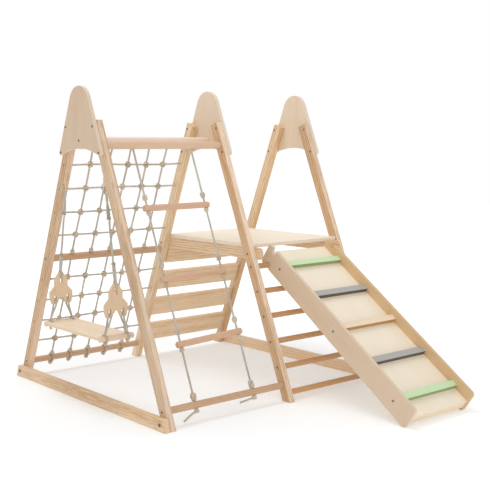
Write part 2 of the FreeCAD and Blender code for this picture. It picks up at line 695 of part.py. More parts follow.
def seat_rope(side, way):
    """Seat rope: a loop through a rocket's slot that closes above the seat, and a ring round the seat bar."""
    slot_x = SWING_X + way * ROCKET_LEG_SLOT_SPREAD / 2
    plane_y = side * SWING_HALF
    low = ROCKET_NOSE_Z - ROCKET_HEIGHT
    over_z = low + ROCKET_LEG_SLOT_RISE - ROCKET_LEG_SLOT / 2 + ROPE_D / 2 + ROPE_FIT
    under_z = low - ROPE_D / 2
    out = ROCKET_THICK / 2 + ROPE_FIT + LOOP_D / 2
    bar = V(SWING_X + way * SEAT_ROPE_SPREAD / 2, side * SEAT_BAR_Y, SEAT_BAR_Z)
    ring_top = bar + V(0, 0, SEAT_RING_MID)
    foot = V(slot_x, plane_y, low)
    join = foot + (ring_top - foot).normalize() * SEAT_ROPE_JOIN
    tie = bar - V(0, 0, SEAT_RING_MID + ROPE_D / 2)
    pieces = [
        Part.makeTorus(SEAT_RING_MID, LOOP_D / 2, bar, V(1, 0, 0)),
        rod(join, ring_top, SEAT_SPLICE_D),
        ball(join, SEAT_SPLICE_D + 1),
        ball(tie, SEAT_KNOT_D),
    ]
    for y in (plane_y - out, plane_y + out):
        over = V(slot_x, y, over_z)
        under = V(slot_x, y, under_z)
        pieces += [ball(over, LOOP_D), rod(over, under, ROPE_D)]
        pieces += [ball(under, LOOP_D), rod(under, join, ROPE_D)]
    return rod(V(slot_x, plane_y - out, over_z), V(slot_x, plane_y + out, over_z), ROPE_D).fuse(pieces)


def seat_board():
    """Seat board let in between the two seat bars, with notches for the rope rings."""
    left = SWING_X - SEAT_WIDTH / 2
    right = SWING_X + SEAT_WIDTH / 2
    board = box(left, right, -SEAT_BAR_Y, SEAT_BAR_Y, SEAT_TOP - SEAT_THICK, SEAT_TOP)
    board = round_edges(board, V(0, 1, 0), BOARD_EASE, lambda p: True)
    notch_half = LOOP_D / 2 + SEAT_ROPE_ROOM
    notch_run = SEAT_RING_MID + notch_half
    cutters = []
    for side in (REAR, FRONT):
        cutters.append(bar_x(left - 1, right + 1, side * SEAT_BAR_Y, SEAT_BAR_Z, SEAT_BAR_D))
        ends = sorted((side * SEAT_BAR_Y, side * (SEAT_BAR_Y - notch_run)))
        for way in (-1, 1):
            x = SWING_X + way * SEAT_ROPE_SPREAD / 2
            low, high = SEAT_BAR_Z - SEAT_BAR_D, SEAT_BAR_Z + SEAT_BAR_D
            cutters.append(box(x - notch_half, x + notch_half, ends[0], ends[1], low, high))
    return board.cut(cutters)


def frame_screws():
    """Screw and bolt heads of the frame."""
    heads = []
    left_face = LEFT_X - PLATE_THICK
    for z in (PLATE_TOP - PLATE_SCREW_HIGH, PLATE_BOTTOM + PLATE_SCREW_LOW):
        for side in (REAR, FRONT):
            y = outer_y(side, z) - side * PLATE_SCREW_EDGE
            heads.append(bar_x(left_face - SCREW_HEAD_RISE, left_face, y, z, SCREW_HEAD_D))
            for x in (MIDDLE_X, RIGHT_X):
                heads.append(bar_x(x - SCREW_HEAD_RISE, x, y, z, SCREW_HEAD_D))
    heads.append(bar_x(left_face - SCREW_HEAD_RISE, left_face, 0, CENTER_BAR_Z, SCREW_HEAD_D))
    for side, z in ((REAR, MIDDLE_BAR_Z), (REAR, LOW_REAR_BAR_Z), (FRONT, LOW_FRONT_BAR_Z)):
        heads.append(bar_x(LEFT_X - SCREW_HEAD_RISE, LEFT_X, mid_y(side, z), z, SCREW_HEAD_D))
    for z in RUNG_Z[:-1]:
        heads.append(bar_x(MIDDLE_X - SCREW_HEAD_RISE, MIDDLE_X, mid_y(FRONT, z), z, SCREW_HEAD_D))
        heads.append(bar_x(RIGHT_OUT, RIGHT_OUT + SCREW_HEAD_RISE, mid_y(FRONT, z), z, SCREW_HEAD_D))
    for index in range(SLAT_COUNT):
        z = SLAT_TOP_Z - SLAT_PITCH * index
        heads.append(bar_x(RIGHT_OUT, RIGHT_OUT + SCREW_HEAD_RISE, mid_y(REAR, z), z, SCREW_HEAD_D))
    rail_z = PLATFORM_TOP - PLATFORM_THICK - PLATFORM_RAIL_HEIGHT / 2
    for side in (REAR, FRONT):
        y = mid_y(side, rail_z)
        heads.append(bar_x(MIDDLE_X - SCREW_HEAD_RISE, MIDDLE_X, y, rail_z, SCREW_HEAD_D))
        heads.append(bar_x(RIGHT_OUT, RIGHT_OUT + SCREW_HEAD_RISE, y, rail_z, SCREW_HEAD_D))
    bolt_z = FLOOR_RAIL_HEIGHT / 2
    right_face = RIGHT_OUT + FLOOR_RAIL_THICK
    left_rail = LEFT_X - FLOOR_RAIL_THICK
    for side in (REAR, FRONT):
        y = mid_y(side, bolt_z)
        heads.append(bar_x(left_rail - BOLT_HEAD_RISE, left_rail, y, bolt_z, BOLT_HEAD_D))
        heads.append(bar_x(right_face, right_face + BOLT_HEAD_RISE, y, bolt_z, BOLT_HEAD_D))
    return Part.makeCompound(heads)


def build():
    """Make every node and write it to the parts folder."""
    os.makedirs("parts", exist_ok=True)
    save("left_rear_leg", rope_holed(leg(REAR, LEFT_X), LEFT_X))
    save("left_front_leg", leg(FRONT, LEFT_X))
    save("middle_rear_leg", rope_holed(leg(REAR, MIDDLE_X), MIDDLE_X))
    save("middle_front_leg", leg(FRONT, MIDDLE_X))
    save("right_rear_leg", leg(REAR, RIGHT_X))
    save("right_front_leg", leg(FRONT, RIGHT_X))
    save("left_apex_plate", apex_plate(LEFT_X - PLATE_THICK))
    save("middle_apex_plate", apex_plate(MIDDLE_IN))
    save("right_apex_plate", apex_plate(RIGHT_OUT))
    save("left_floor_rail", floor_rail(LEFT_X - FLOOR_RAIL_THICK))
    save("right_floor_rail", floor_rail(RIGHT_OUT))

    save("top_front_bar", bar_x(LEFT_IN, MIDDLE_X, mid_y(FRONT, TOP_BAR_Z), TOP_BAR_Z, BAR_D))
    save("top_center_bar", bar_x(LEFT_X, MIDDLE_IN, 0, CENTER_BAR_Z, BAR_D))
    save("top_rear_bar", bar_x(LEFT_IN, MIDDLE_X, mid_y(REAR, TOP_BAR_Z), TOP_BAR_Z, BAR_D))
    save("middle_rear_bar", bar_x(LEFT_IN, MIDDLE_X, mid_y(REAR, MIDDLE_BAR_Z), MIDDLE_BAR_Z, BAR_D))
    save("bottom_rear_bar", bar_x(LEFT_IN, MIDDLE_X, mid_y(REAR, LOW_REAR_BAR_Z), LOW_REAR_BAR_Z, LOW_BAR_D))
    low_front = bar_x(LEFT_IN, MIDDLE_X, mid_y(FRONT, LOW_FRONT_BAR_Z), LOW_FRONT_BAR_Z, LOW_BAR_D)
    save("bottom_front_bar", rope_drilled(low_front, [LOW_FRONT_BAR_Z] * len(LADDER_X)))

    upper_rows, lower_rows = net_row_z()
    save("net_upper", net_panel(upper_rows, TOP_BAR_Z, BAR_D, MIDDLE_BAR_Z, BAR_D, False))
    save("net_lower", net_panel(lower_rows, MIDDLE_BAR_Z, BAR_D, LOW_REAR_BAR_Z, LOW_BAR_D, True))
    for name, x in zip(("left", "right"), LADDER_X):
        save("ladder_rope_" + name, ladder_rope(x))
    for index in range(len(LADDER_RUNG_Z)):
        save("ladder_rung_" + str(index + 1), ladder_rung(index))
    for name, x, points in zip(("ladder_tail_left", "ladder_tail_right"), LADDER_X, (TAIL_LEFT, TAIL_RIGHT)):
        save(name, cord_tube(ladder_end(x), points, ROPE_D, name))

    board_low = PLATFORM_TOP - PLATFORM_THICK
    half_depth = outer_y(REAR, PLATFORM_TOP) - PLATFORM_EDGE_INSET
    board = box(MIDDLE_IN, RIGHT_X, -half_depth, half_depth, board_low, PLATFORM_TOP)
    save("platform_board", round_edges(board, V(1, 0, 0), BOARD_EASE, lambda p: True))
    save("platform_rail_left", platform_rail(MIDDLE_IN))
    save("platform_rail_right", platform_rail(RIGHT_X - PLATFORM_RAIL_THICK))
    for index in range(SLAT_COUNT):
        save("rear_slat_" + str(index + 1), slat(index))
    for index, z in enumerate(RUNG_Z):
        save("front_rung_" + str(index + 1), bar_x(MIDDLE_IN, RIGHT_X, mid_y(FRONT, z), z, RUNG_D))

    save("ramp_panel_left", ramp_panel(RAMP_LEFT))
    save("ramp_panel_right", ramp_panel(RAMP_RIGHT - RAMP_PANEL_THICK))
    board_top = RAMP_BOARD_T + RAMP_BOARD_THICK
    board_end = RAMP_LENGTH - RAMP_BOARD_INSET
    base_board = box(RAMP_IN[0], RAMP_IN[1], RAMP_BOARD_INSET, board_end, RAMP_BOARD_T, board_top)
    save("ramp_board", on_ramp(base_board))
    for index in range(RAMP_TREAD_COUNT):
        save("ramp_tread_" + str(index + 1), ramp_tread(index))
    batten_end = RAMP_BOARD_INSET + RAMP_BATTEN_WIDTH
    batten_low = RAMP_BOARD_T - RAMP_BATTEN_HEIGHT
    batten = box(RAMP_IN[0], RAMP_IN[1], RAMP_BOARD_INSET, batten_end, batten_low, RAMP_BOARD_T)
    save("ramp_batten", on_ramp(batten))
    save("ramp_screws", ramp_screws())

    save("swing_hangers", Part.makeCompound([hanger(REAR), hanger(FRONT)]))
    seat_ropes = []
    for name, side in (("rear", REAR), ("front", FRONT)):
        save("swing_rope_" + name, swing_rope(side))
        save("rocket_" + name, rocket(side))
        bar_ends = (SWING_X - SEAT_BAR_LENGTH / 2, SWING_X + SEAT_BAR_LENGTH / 2)
        save("seat_bar_" + name, dowel_x(bar_ends[0], bar_ends[1], side * SEAT_BAR_Y, SEAT_BAR_Z, SEAT_BAR_D))
        for way in (-1, 1):
            seat_ropes.append(seat_rope(side, way))
    save("seat_ropes", Part.makeCompound(seat_ropes))
    save("swing_seat", seat_board())
    save("frame_screws", frame_screws())
    print("ramp slope", round(RAMP_SLOPE, 2), "degrees")


build()
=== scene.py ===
"""Looks of a wooden climbing frame: rope work, finishes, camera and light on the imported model.

Metres, +Z up, -Y is the front (ladder and ramp side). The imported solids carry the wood, and every rope
is laid here from three strands, with its knots, in the place of its plain solid.
"""

import logging
import math
from dataclasses import dataclass, field, replace
from enum import Enum
from functools import reduce
from typing import Sequence

import bpy
from mathutils import Matrix, Quaternion, Vector


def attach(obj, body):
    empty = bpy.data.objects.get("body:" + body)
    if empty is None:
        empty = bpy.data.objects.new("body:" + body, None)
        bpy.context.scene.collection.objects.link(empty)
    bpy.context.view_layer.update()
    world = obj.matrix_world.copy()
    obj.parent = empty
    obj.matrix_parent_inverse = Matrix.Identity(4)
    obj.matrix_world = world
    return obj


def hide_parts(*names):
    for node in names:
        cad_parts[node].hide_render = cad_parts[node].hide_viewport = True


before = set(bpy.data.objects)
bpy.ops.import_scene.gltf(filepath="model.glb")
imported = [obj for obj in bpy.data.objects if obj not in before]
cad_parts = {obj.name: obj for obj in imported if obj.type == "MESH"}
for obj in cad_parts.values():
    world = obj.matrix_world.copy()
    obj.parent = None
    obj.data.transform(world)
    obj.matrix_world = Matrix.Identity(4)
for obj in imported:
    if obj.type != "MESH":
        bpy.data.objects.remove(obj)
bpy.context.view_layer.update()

LOG = logging.getLogger("climbing_frame")
MM = 0.001
X = Vector((1.0, 0.0, 0.0))
Y = Vector((0.0, 1.0, 0.0))
Z = Vector((0.0, 0.0, 1.0))

Triple = tuple[float, float, float]
Color = Triple
Bar = tuple[float, float]  # height and diameter in mm
Line = list[Vector]
Socket = bpy.types.NodeSocket


class Slope(Enum):
    """The two leaning sides of the A-frames."""

    REAR = 1
    FRONT = -1


class Knot(Enum):
    """Knots of the rope work, each with its width across the rope and its height along it, in mm."""

    NET = (31.0, 26.0)
    STOPPER = (24.0, 20.0)
    CLEAR = (25.0, 27.0)
    BASE = (28.0, 34.0)
    TIE = (15.0, 14.0)


def meshed(curve: bpy.types.Curve) -> bpy.types.Mesh:
    """Turn a curve into a mesh.

    Args:
        curve: The curve, which is then removed.

    Returns:
        The mesh.
    """
    holder = bpy.data.objects.new("holder", curve)
    mesh = bpy.data.meshes.new_from_object(holder)
    bpy.data.objects.remove(holder)
    bpy.data.curves.remove(curve)
    return mesh


@dataclass(frozen=True)
class LeaningSides:
    """Where the middle planes of the two leaning sides lie, in mm as in the part's source."""

    lean_deg: float = 22.5
    leg_width: float = 44.0
    foot_spread: float = 1173.99

    @property
    def lean(self) -> float:
        """Lean of the legs in radians."""
        return math.radians(self.lean_deg)

    def up(self, slope: Slope) -> Vector:
        """Unit vector up a slope."""
        return Vector((0.0, -slope.value * math.sin(self.lean), math.cos(self.lean)))

    def out(self, slope: Slope) -> Vector:
        """Unit vector square to a slope, pointing outward."""
        return Vector((0.0, slope.value * math.cos(self.lean), math.sin(self.lean)))

    def point(self, slope: Slope, x: float, z: float) -> Vector:
        """Point on a slope's middle plane, in metres, from a place along the bars and a height in mm."""
        half = self.foot_spread / 2 - self.leg_width / (2 * math.cos(self.lean))
        return Vector((x, slope.value * (half - z * math.tan(self.lean)), z)) * MM


@dataclass(frozen=True)
class RopeStock:
    """Rope laid from a few strands. Sizes in mm."""

    diameter: float
    lay: float  # length in which a strand goes once round
    step: float  # between the rings of a strand's mesh
    finishes: tuple["RopeFinish", ...]  # of the rope and of its knots
    count: int = 3  # of strands
    strand_share: float = 0.25  # radius of a strand, a little pressed, as a share of the diameter
    fewest_rings: int = 4
    route_steps: int = 8  # points read from each stretch of a route
    ring_points: int = 12  # control points of a ring, or of one turn of a winding
    knot_points: int = 28
    knot_loops: int = 3  # times round the rope
    knot_waves: int = 4  # times out and in
    knot_shape: Triple = (0.68, 0.36, 1.15)  # mean reach, swing and rise, as shares

    @property
    def strand_radius(self) -> float:
        """Radius of one strand in metres."""
        return self.diameter * self.strand_share * MM

    @property
    def strand_offset(self) -> float:
        """Distance of a strand's middle from the rope's middle, in metres."""
        return self.diameter / 2 * MM - self.strand_radius

    def route(self, points: Sequence[Vector], closed: bool = False) -> Line:
        """Read the smooth line of a route.

        Args:
            points: Control points in metres.
            closed: True for a ring.

        Returns:
            Points along the route's spline.
        """
        curve = bpy.data.curves.new("route", "CURVE")
        curve.dimensions = "3D"
        curve.resolution_u = self.route_steps
        spline = curve.splines.new("NURBS")
        spline.points.add(len(points) - 1)
        for spot, point in zip(spline.points, points):
            spot.co = (*point, 1.0)
        spline.order_u = 3
        spline.use_endpoint_u = not closed
        spline.use_cyclic_u = closed
        mesh = meshed(curve)
        line = [vertex.co.copy() for vertex in mesh.vertices]
        bpy.data.meshes.remove(mesh)
        if closed:
            line.append(line[0].copy())
        return line

    def rings(self, line: Line) -> Line:
        """Find points at even steps along a line.

        Args:
            line: Points along the rope's middle.

        Returns:
            Points about a step apart, the line's ends among them.
        """
        lengths = [0.0]
        for before, after in zip(line, line[1:]):
            lengths.append(lengths[-1] + (after - before).length)
        count = max(self.fewest_rings, round(lengths[-1] / (self.step * MM)))
        spots = []
        index = 0
        for number in range(count + 1):
            place = lengths[-1] * number / count
            while index < len(lengths) - 2 and lengths[index + 1] < place:
                index += 1
            span = lengths[index + 1] - lengths[index]
            share = (place - lengths[index]) / span if span > 0 else 0.0
            spots.append(line[index].lerp(line[index + 1], share))
        return spots

    def strands(self, line: Line, closed: bool = False, start_turn: float = 0.0) -> list[Line]:
        """Lay the strands round a line.

        Args:
            line: Points along the rope's middle.
            closed: True where the line ends where it starts, so that the strands meet themselves.
            start_turn: Turn of the strands at the line's start, in radians.

        Returns:
            A list of points for each strand.
        """
        spots = self.rings(line)
        runs = [after - before for before, after in zip(spots, spots[1:])]
        length = sum(run.length for run in runs)
        tangents = [runs[0]] + [before + after for before, after in zip(runs, runs[1:])] + [runs[-1]]
        if closed:
            tangents[0] = tangents[-1] = runs[-1] + runs[0]
        tangents = [tangent.normalized() for tangent in tangents]
        side = tangents[0].orthogonal().normalized()
        sides = [side]
        for before, after in zip(tangents, tangents[1:]):
            side = before.rotation_difference(after) @ side
            side = (side - after * side.dot(after)).normalized()
            sides.append(side)
        turns = length / (self.lay * MM)
        slip = 0.0
        if closed:
            turns = max(1.0, round(turns))
            cross = tangents[0].dot(sides[-1].cross(sides[0]))
            slip = math.atan2(cross, sides[-1].dot(sides[0]))
        strands: list[Line] = [[] for _ in range(self.count)]
        for index, (spot, tangent, side) in enumerate(zip(spots, tangents, sides)):
            share = index / (len(spots) - 1)
            angle = start_turn + (math.tau * turns + slip) * share
            for number, strand in enumerate(strands):
                arm = Quaternion(tangent, angle + math.tau * number / self.count) @ side
                strand.append(spot + arm * self.strand_offset)
        return strands

    def laid(self, points: Sequence[Vector], closed: bool = False, start_turn: float = 0.0) -> list[Line]:
        """Strands along the smooth line of a route."""
        return self.strands(self.route(points, closed), closed, start_turn)

    def winding(
        self, start: Vector, axis: Vector, radius: float, turns: float = 1.0, pitch: float = 0.0
    ) -> list[Line]:
        """Wind the rope round an axis.

        Args:
            start: Point on the axis where it starts, in metres.
            axis: Unit vector along the axis.
            radius: Radius to the rope's middle in mm.
            turns: Number of turns.
            pitch: Distance between turns in mm, or 0 for a closed ring.

        Returns:
            A list of points for each strand.
        """
        each = self.ring_points
        closed = not pitch
        arm = axis.orthogonal().normalized() * (radius * MM / math.cos(math.pi / each))
        count = round(turns * each) + (0 if closed else 1)
        points = []
        for share in (number / each for number in range(count)):
            points.append(start + axis * pitch * share * MM + Quaternion(axis, math.tau * share) @ arm)
        return self.laid(points, closed)

    def knot(self, kind: Knot, center: Vector, axis: Vector, turn: float) -> list[Line]:
        """Tie a tight knot whose turns go round the rope.

        Args:
            kind: Size of the knot.
            center: Middle of the knot in metres.
            axis: Unit vector along the rope that passes through.
            turn: Turn of the knot about that rope, in radians.

        Returns:
            A closed list of points for each strand.
        """
        width, height = kind.value
        reach = (width - self.diameter) / 2
        rise = (height - self.diameter) / 2
        mean, swing, lift = self.knot_shape
        aim = Z.rotation_difference(axis) @ Quaternion(Z, turn)
        points = []
        for number in range(self.knot_points):
            t = math.tau * number / self.knot_points
            out = reach * (mean + swing * math.cos(self.knot_waves * t))
            x = out * math.cos(self.knot_loops * t)
            y = out * math.sin(self.knot_loops * t)
            z = lift * rise * math.sin(self.knot_waves * t)
            points.append(center + aim @ (Vector((x, y, z)) * MM))
        return self.laid(points, True)


@dataclass
class RopePiece:
    """Collects the strands of one rope piece and makes its mesh."""

    name: str
    stock: RopeStock
    runs: list[Line] = field(default_factory=list)
    knots: list[Line] = field(default_factory=list)

    def add(self, strands: Sequence[Line]) -> None:
        """Take strands into the piece."""
        self.runs.extend(strands)

    def tie(self, kind: Knot, center: Vector, axis: Vector, turn: float) -> None:
        """Take a knot into the piece, as RopeStock.knot makes it."""
        self.knots.extend(self.stock.knot(kind, center, axis, turn))

    def make(self, body: str, *nodes: str) -> bpy.types.Object:
        """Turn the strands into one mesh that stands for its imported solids.

        Args:
            body: Body that it moves with.
            nodes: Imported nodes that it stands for.

        Returns:
            The piece.
        """
        curve = bpy.data.curves.new(self.name, "CURVE")
        curve.dimensions = "3D"
        curve.bevel_depth = self.stock.strand_radius
        curve.bevel_resolution = 1
        curve.use_fill_caps = True
        for index, (finish, runs) in enumerate(zip(self.stock.finishes, (self.runs, self.knots))):
            curve.materials.append(finish.material())
            for run in runs:
                spline = curve.splines.new("POLY")
                spline.material_index = index
                spline.points.add(len(run) - 1)
                for spot, point in zip(spline.points, run):
                    spot.co = (*point, 1.0)
        mesh = meshed(curve)
        mesh.shade_smooth()
        piece = bpy.data.objects.new(self.name, mesh)
        bpy.context.scene.collection.objects.link(piece)
        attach(piece, body)
        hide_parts(*nodes)
        LOG.info("%s: %d faces on %s", self.name, len(piece.data.polygons), body)
        return piece


class NodeGraph:
    """Small helper that adds and links the nodes of one node tree."""

    def __init__(self, tree: bpy.types.NodeTree) -> None:
        """Work on a node tree."""
        self.nodes = tree.nodes
        self.links = tree.links

    def add(
        self, kind: str, settings: dict | None = None, *first: object, **named: object
    ) -> bpy.types.Node:
        """Add a node.

        Args:
            kind: Node type without the ShaderNode prefix.
            settings: Properties of the node.
            first: Values or sockets for its first inputs.
            named: Values or sockets for other inputs, by name with _ for spaces.

        Returns:
            The node.
        """
        node = self.nodes.new("ShaderNode" + kind)
        for key, value in (settings or {}).items():
            setattr(node, key, value)
        for socket, value in zip(node.inputs, first):
            self.put(socket, value)
        for key, value in named.items():
            self.put(node.inputs[key.replace("_", " ")], value)
        return node

    def put(self, socket: Socket, value: object) -> None:
        """Set or link one input.

        Args:
            socket: The input.
            value: A value, or a socket to link.
        """
        if isinstance(value, Socket):
            self.links.new(value, socket)
        else:
            socket.default_value = value

    def math(self, operation: str, first: object, second: object = 0.0) -> Socket:
        """Result of a Math node on two values or sockets."""
        return self.add("Math", {"operation": operation}, first, second).outputs[0]

    def total(self, *values: object) -> Socket:
        """Sum of two or more values or sockets."""
        return reduce(lambda first, second: self.math("ADD", first, second), values)

    def span(self, value: Socket, low: float, high: float, to_low: float, to_high: float) -> Socket:
        """Value mapped smoothly from low and high to to_low and to_high, and held beyond them."""
        settings = {"interpolation_type": "SMOOTHSTEP"}
        return self.add("MapRange", settings, value, low, high, to_low, to_high).outputs[0]

    def mix(self, factor: object, first: object, second: object, blend: str = "MIX") -> Socket:
        """Mix two colors.

        Args:
            factor: Share of the second color.
            first: First color or socket.
            second: Second color or socket.
            blend: How they mix.

        Returns:
            The mixed color.
        """
        # A Mix node's sockets for colors: 0 the factor, 6 and 7 the colors, 2 the result
        node = self.add("Mix", {"data_type": "RGBA", "blend_type": blend})
        for index, value in ((0, factor), (6, first), (7, second)):
            self.put(node.inputs[index], (*value, 1.0) if isinstance(value, tuple) else value)
        return node.outputs[2]


@dataclass(frozen=True)
class Grain:
    """Directions of a wooden piece."""

    along: Vector  # unit vector along the fibres
    face: Vector  # through the broad face and the layers
    seed: int  # shifts the figure, so that no two pieces look alike

    @property
    def through(self) -> Vector:
        """Unit vector through the broad face, square to the fibres."""
        along = self.along.normalized()
        return (self.face - along * self.face.dot(along)).normalized()

    @property
    def turn(self) -> Triple:
        """Turn of the coordinates that brings X along the fibres and Z through the face."""
        along = self.along.normalized()
        return tuple(Matrix((along, self.through.cross(along), self.through)).to_euler())

    @property
    def shift(self) -> Triple:
        """Shift of the coordinates that goes with the seed."""
        return (0.37 * self.seed, 0.211 * (self.seed % 7), 0.173 * (self.seed % 5))


class MaterialGraph(NodeGraph):
    """Nodes of one material round its Principled shader."""

    def __init__(self, name: str, grain: Grain | None = None) -> None:
        """Make the material and the coordinates of its figure.

        Args:
            name: Name of the material.
            grain: Directions of a wooden piece, or None where there are no fibres.
        """
        self.material = bpy.data.materials.new(name)
        self.material.use_nodes = True
        super().__init__(self.material.node_tree)
        self.shader = self.nodes["Principled BSDF"]
        self.grain = grain
        self.place = self.add("TexCoord").outputs["Object"]
        if grain:
            turned = self.add("Mapping", Vector=self.place, Rotation=grain.turn, Location=grain.shift)
            self.place = turned.outputs[0]

    def set(self, name: str, value: object) -> None:
        """Set or link one of the shader's inputs."""
        self.put(self.shader.inputs[name], value)

    def bump(self, height: Socket, strength: float, distance: float) -> None:
        """Feed the shader's normal from a height."""
        node = self.add("Bump", Height=height, Strength=strength, Distance=distance)
        self.set("Normal", node.outputs[0])

    def stretched(self, *scale: float) -> Socket:
        """Coordinates scaled along each axis."""
        return self.add("Mapping", Vector=self.place, Scale=scale).outputs[0]

    def noise(self, scale: float, detail: float, rough: float = 0.5, place: Socket | None = None) -> Socket:
        """Value of a Noise texture, at other coordinates where these are given."""
        inputs = {"Vector": place or self.place, "Scale": scale, "Detail": detail, "Roughness": rough}
        return self.add("TexNoise", **inputs).outputs[0]

    def streaks(self, along: float, across: float, detail: float, rough: float = 0.5) -> Socket:
        """Noise drawn out along the fibres, with its changes per metre along and across them."""
        return self.noise(1.0, detail, rough, self.stretched(along, across, across))

    def edgewise(self) -> Socket:
        """Tell a wooden piece's narrow faces from its broad ones.

        Returns:
            1 on the narrow faces and ends, 0 on the broad faces.
        """
        normal = self.add("TexCoord").outputs["Normal"]
        dot = self.add("VectorMath", {"operation": "DOT_PRODUCT"}, normal, tuple(self.grain.through))
        return self.span(self.math("ABSOLUTE", dot.outputs["Value"]), 0.25, 0.6, 1.0, 0.0)

    def with_painted_side_shading(self, color: Socket, edge: Color) -> Socket:
        """Color that is multiplied with another on the narrow faces: painted light and shade, which makes
        those faces lighter or darker in place of how they are lit.
        """
        return self.mix(self.edgewise(), color, self.mix(1.0, color, edge, "MULTIPLY"))


@dataclass(frozen=True)
class Finish:
    """Finish of a surface."""

    name: str  # of the material

    def paint(self, graph: MaterialGraph) -> None:
        """Add the finish's nodes to a material."""
        raise NotImplementedError

    def material(self, grain: Grain | None = None) -> bpy.types.Material:
        """Make the material, or find it where it is there already.

        Args:
            grain: Directions of a wooden piece, or None where there are no fibres.

        Returns:
            The material.
        """
        name = f"{self.name}_{grain.seed:02d}" if grain else self.name
        if name not in bpy.data.materials:
            self.paint(MaterialGraph(name, grain))
        return bpy.data.materials[name]


@dataclass(frozen=True)
class WoodFinish(Finish):
    """Solid wood with growth rings, fibres, small knots and finger-jointed staves."""

    light: Color  # early wood
    dark: Color  # late wood
    rings: float  # per metre across the grain
    figure: float  # how strongly the rings show
    roughness: float
    knots: float = 0.0  # share of places that carry one
    knot: Color = (0.32, 0.16, 0.07)
    stave: float = 0.0  # length in metres, or 0 for wood in one length
    edge: Color = (1.0, 1.0, 1.0)  # painted light and shade: multiplies the color on the narrow faces
    wave_rings: float = 3.18  # rings per metre of a wave texture at scale 1
    tooth: float = 0.004  # half the width of a joint's tooth in metres
    tooth_slope: float = 2.6  # its length over that half

    def paint(self, graph: MaterialGraph) -> None:
        """Add the nodes of one piece's wood.

        Args:
            graph: Nodes of the piece's material.
        """
        wave = graph.add(
            "TexWave",
            {"wave_type": "RINGS", "rings_direction": "X"},
            Vector=graph.stretched(0.045, 1.0, 1.0),
            Scale=self.rings / self.wave_rings,
            Distortion=5.0,
            Detail=2.0,
            Detail_Scale=6.0,
        )
        drift = graph.streaks(1.6, 16.0, 3.0)
        fibre = graph.streaks(9.0, 700.0, 3.0, 0.65)
        ring = graph.math("MULTIPLY", graph.span(wave.outputs["Fac"], 0.25, 1.0, 0.0, 1.0), self.figure)
        tone = graph.total(
            ring, graph.span(drift, 0.3, 0.75, -0.12, 0.38), graph.span(fibre, 0.25, 0.8, -0.12, 0.2)
        )
        color = graph.mix(graph.span(tone, 0.0, 1.0, 0.0, 1.0), self.light, self.dark)
        if self.stave:
            color = self.with_staves(graph, color)
        if self.knots:
            color = self.with_knots(graph, color)
        # the narrow faces get painted light and shade
        graph.set("Base Color", graph.with_painted_side_shading(color, self.edge))
        graph.set("Roughness", graph.span(fibre, 0.2, 0.8, self.roughness - 0.08, self.roughness + 0.1))
        graph.set("Specular IOR Level", 0.35)
        graph.bump(graph.total(fibre, graph.math("MULTIPLY", ring, 0.6)), 0.22, 0.0006)

    def with_staves(self, graph: MaterialGraph, color: Socket) -> Socket:
        """Give each finger-jointed stave a tone of its own, with a toothed joint between them.

        Args:
            graph: Nodes of the piece's material.
            color: Color of the wood.

        Returns:
            The color with its staves.
        """
        axes = graph.add("SeparateXYZ", Vector=graph.place)
        tooth = graph.math("PINGPONG", axes.outputs["Y"], self.tooth)
        along = graph.total(axes.outputs["X"], graph.math("MULTIPLY", tooth, self.tooth_slope))
        number = graph.math("FLOOR", graph.math("DIVIDE", along, self.stave))
        chance = graph.add("TexWhiteNoise", {"noise_dimensions": "1D"}, W=number)
        shade = graph.span(chance.outputs["Value"], 0.0, 1.0, 0.945, 1.015)
        grey = graph.add("CombineColor", Red=shade, Green=shade, Blue=shade)
        return graph.mix(1.0, color, grey.outputs[0], "MULTIPLY")

    def with_knots(self, graph: MaterialGraph, color: Socket) -> Socket:
        """Put a few small dark knots into the wood.

        Args:
            graph: Nodes of the piece's material.
            color: Color of the wood.

        Returns:
            The color with its knots.
        """
        stretched = graph.stretched(5.0, 12.0, 12.0)
        cells = graph.add("TexVoronoi", Vector=stretched, Scale=1.0, Randomness=1.0)
        split = graph.add("SeparateColor", Color=cells.outputs["Color"])
        chosen = graph.math("LESS_THAN", split.outputs[0], self.knots)
        spot = graph.span(cells.outputs["Distance"], 0.03, 0.12, 0.85, 0.0)
        return graph.mix(graph.math("MULTIPLY", spot, chosen), color, self.knot)


@dataclass(frozen=True)
class PlyFinish(Finish):
    """Plywood: calm pale faces and edges that show the layers."""

    face: Color
    shade: Color  # the face's darker figure
    layer: Color  # every other layer at the edge
    pitch: float = 0.0018  # thickness of a layer in metres
    roughness: float = 0.5

    def paint(self, graph: MaterialGraph) -> None:
        """Add the nodes of one board's plywood.

        Args:
            graph: Nodes of the board's material.
        """
        cloud = graph.streaks(2.2, 11.0, 4.0, 0.55)
        streak = graph.streaks(6.0, 190.0, 3.0, 0.6)
        fleck = graph.streaks(60.0, 900.0, 2.0, 0.6)
        tone = graph.total(
            graph.span(cloud, 0.3, 0.75, 0.0, 0.55),
            graph.span(streak, 0.35, 0.8, 0.0, 0.45),
            graph.span(fleck, 0.6, 0.85, 0.0, 0.25),
        )
        color = graph.mix(graph.span(tone, 0.0, 1.2, 0.0, 1.0), self.face, self.shade)
        depth = graph.add("SeparateXYZ", Vector=graph.place).outputs["Z"]
        band = graph.math("PINGPONG", depth, self.pitch)
        band = graph.span(band, self.pitch * 0.35, self.pitch * 0.65, 0.0, 0.75)
        speck = graph.span(graph.noise(260.0, 2.0), 0.35, 0.7, 0.55, 1.0)
        edge = graph.mix(graph.math("MULTIPLY", band, speck), self.face, self.layer)
        graph.set("Base Color", graph.mix(graph.edgewise(), color, edge))
        graph.set("Roughness", graph.span(streak, 0.2, 0.8, self.roughness - 0.06, self.roughness + 0.08))
        graph.set("Specular IOR Level", 0.35)
        graph.bump(graph.total(streak, graph.math("MULTIPLY", fleck, 0.5)), 0.12, 0.0005)


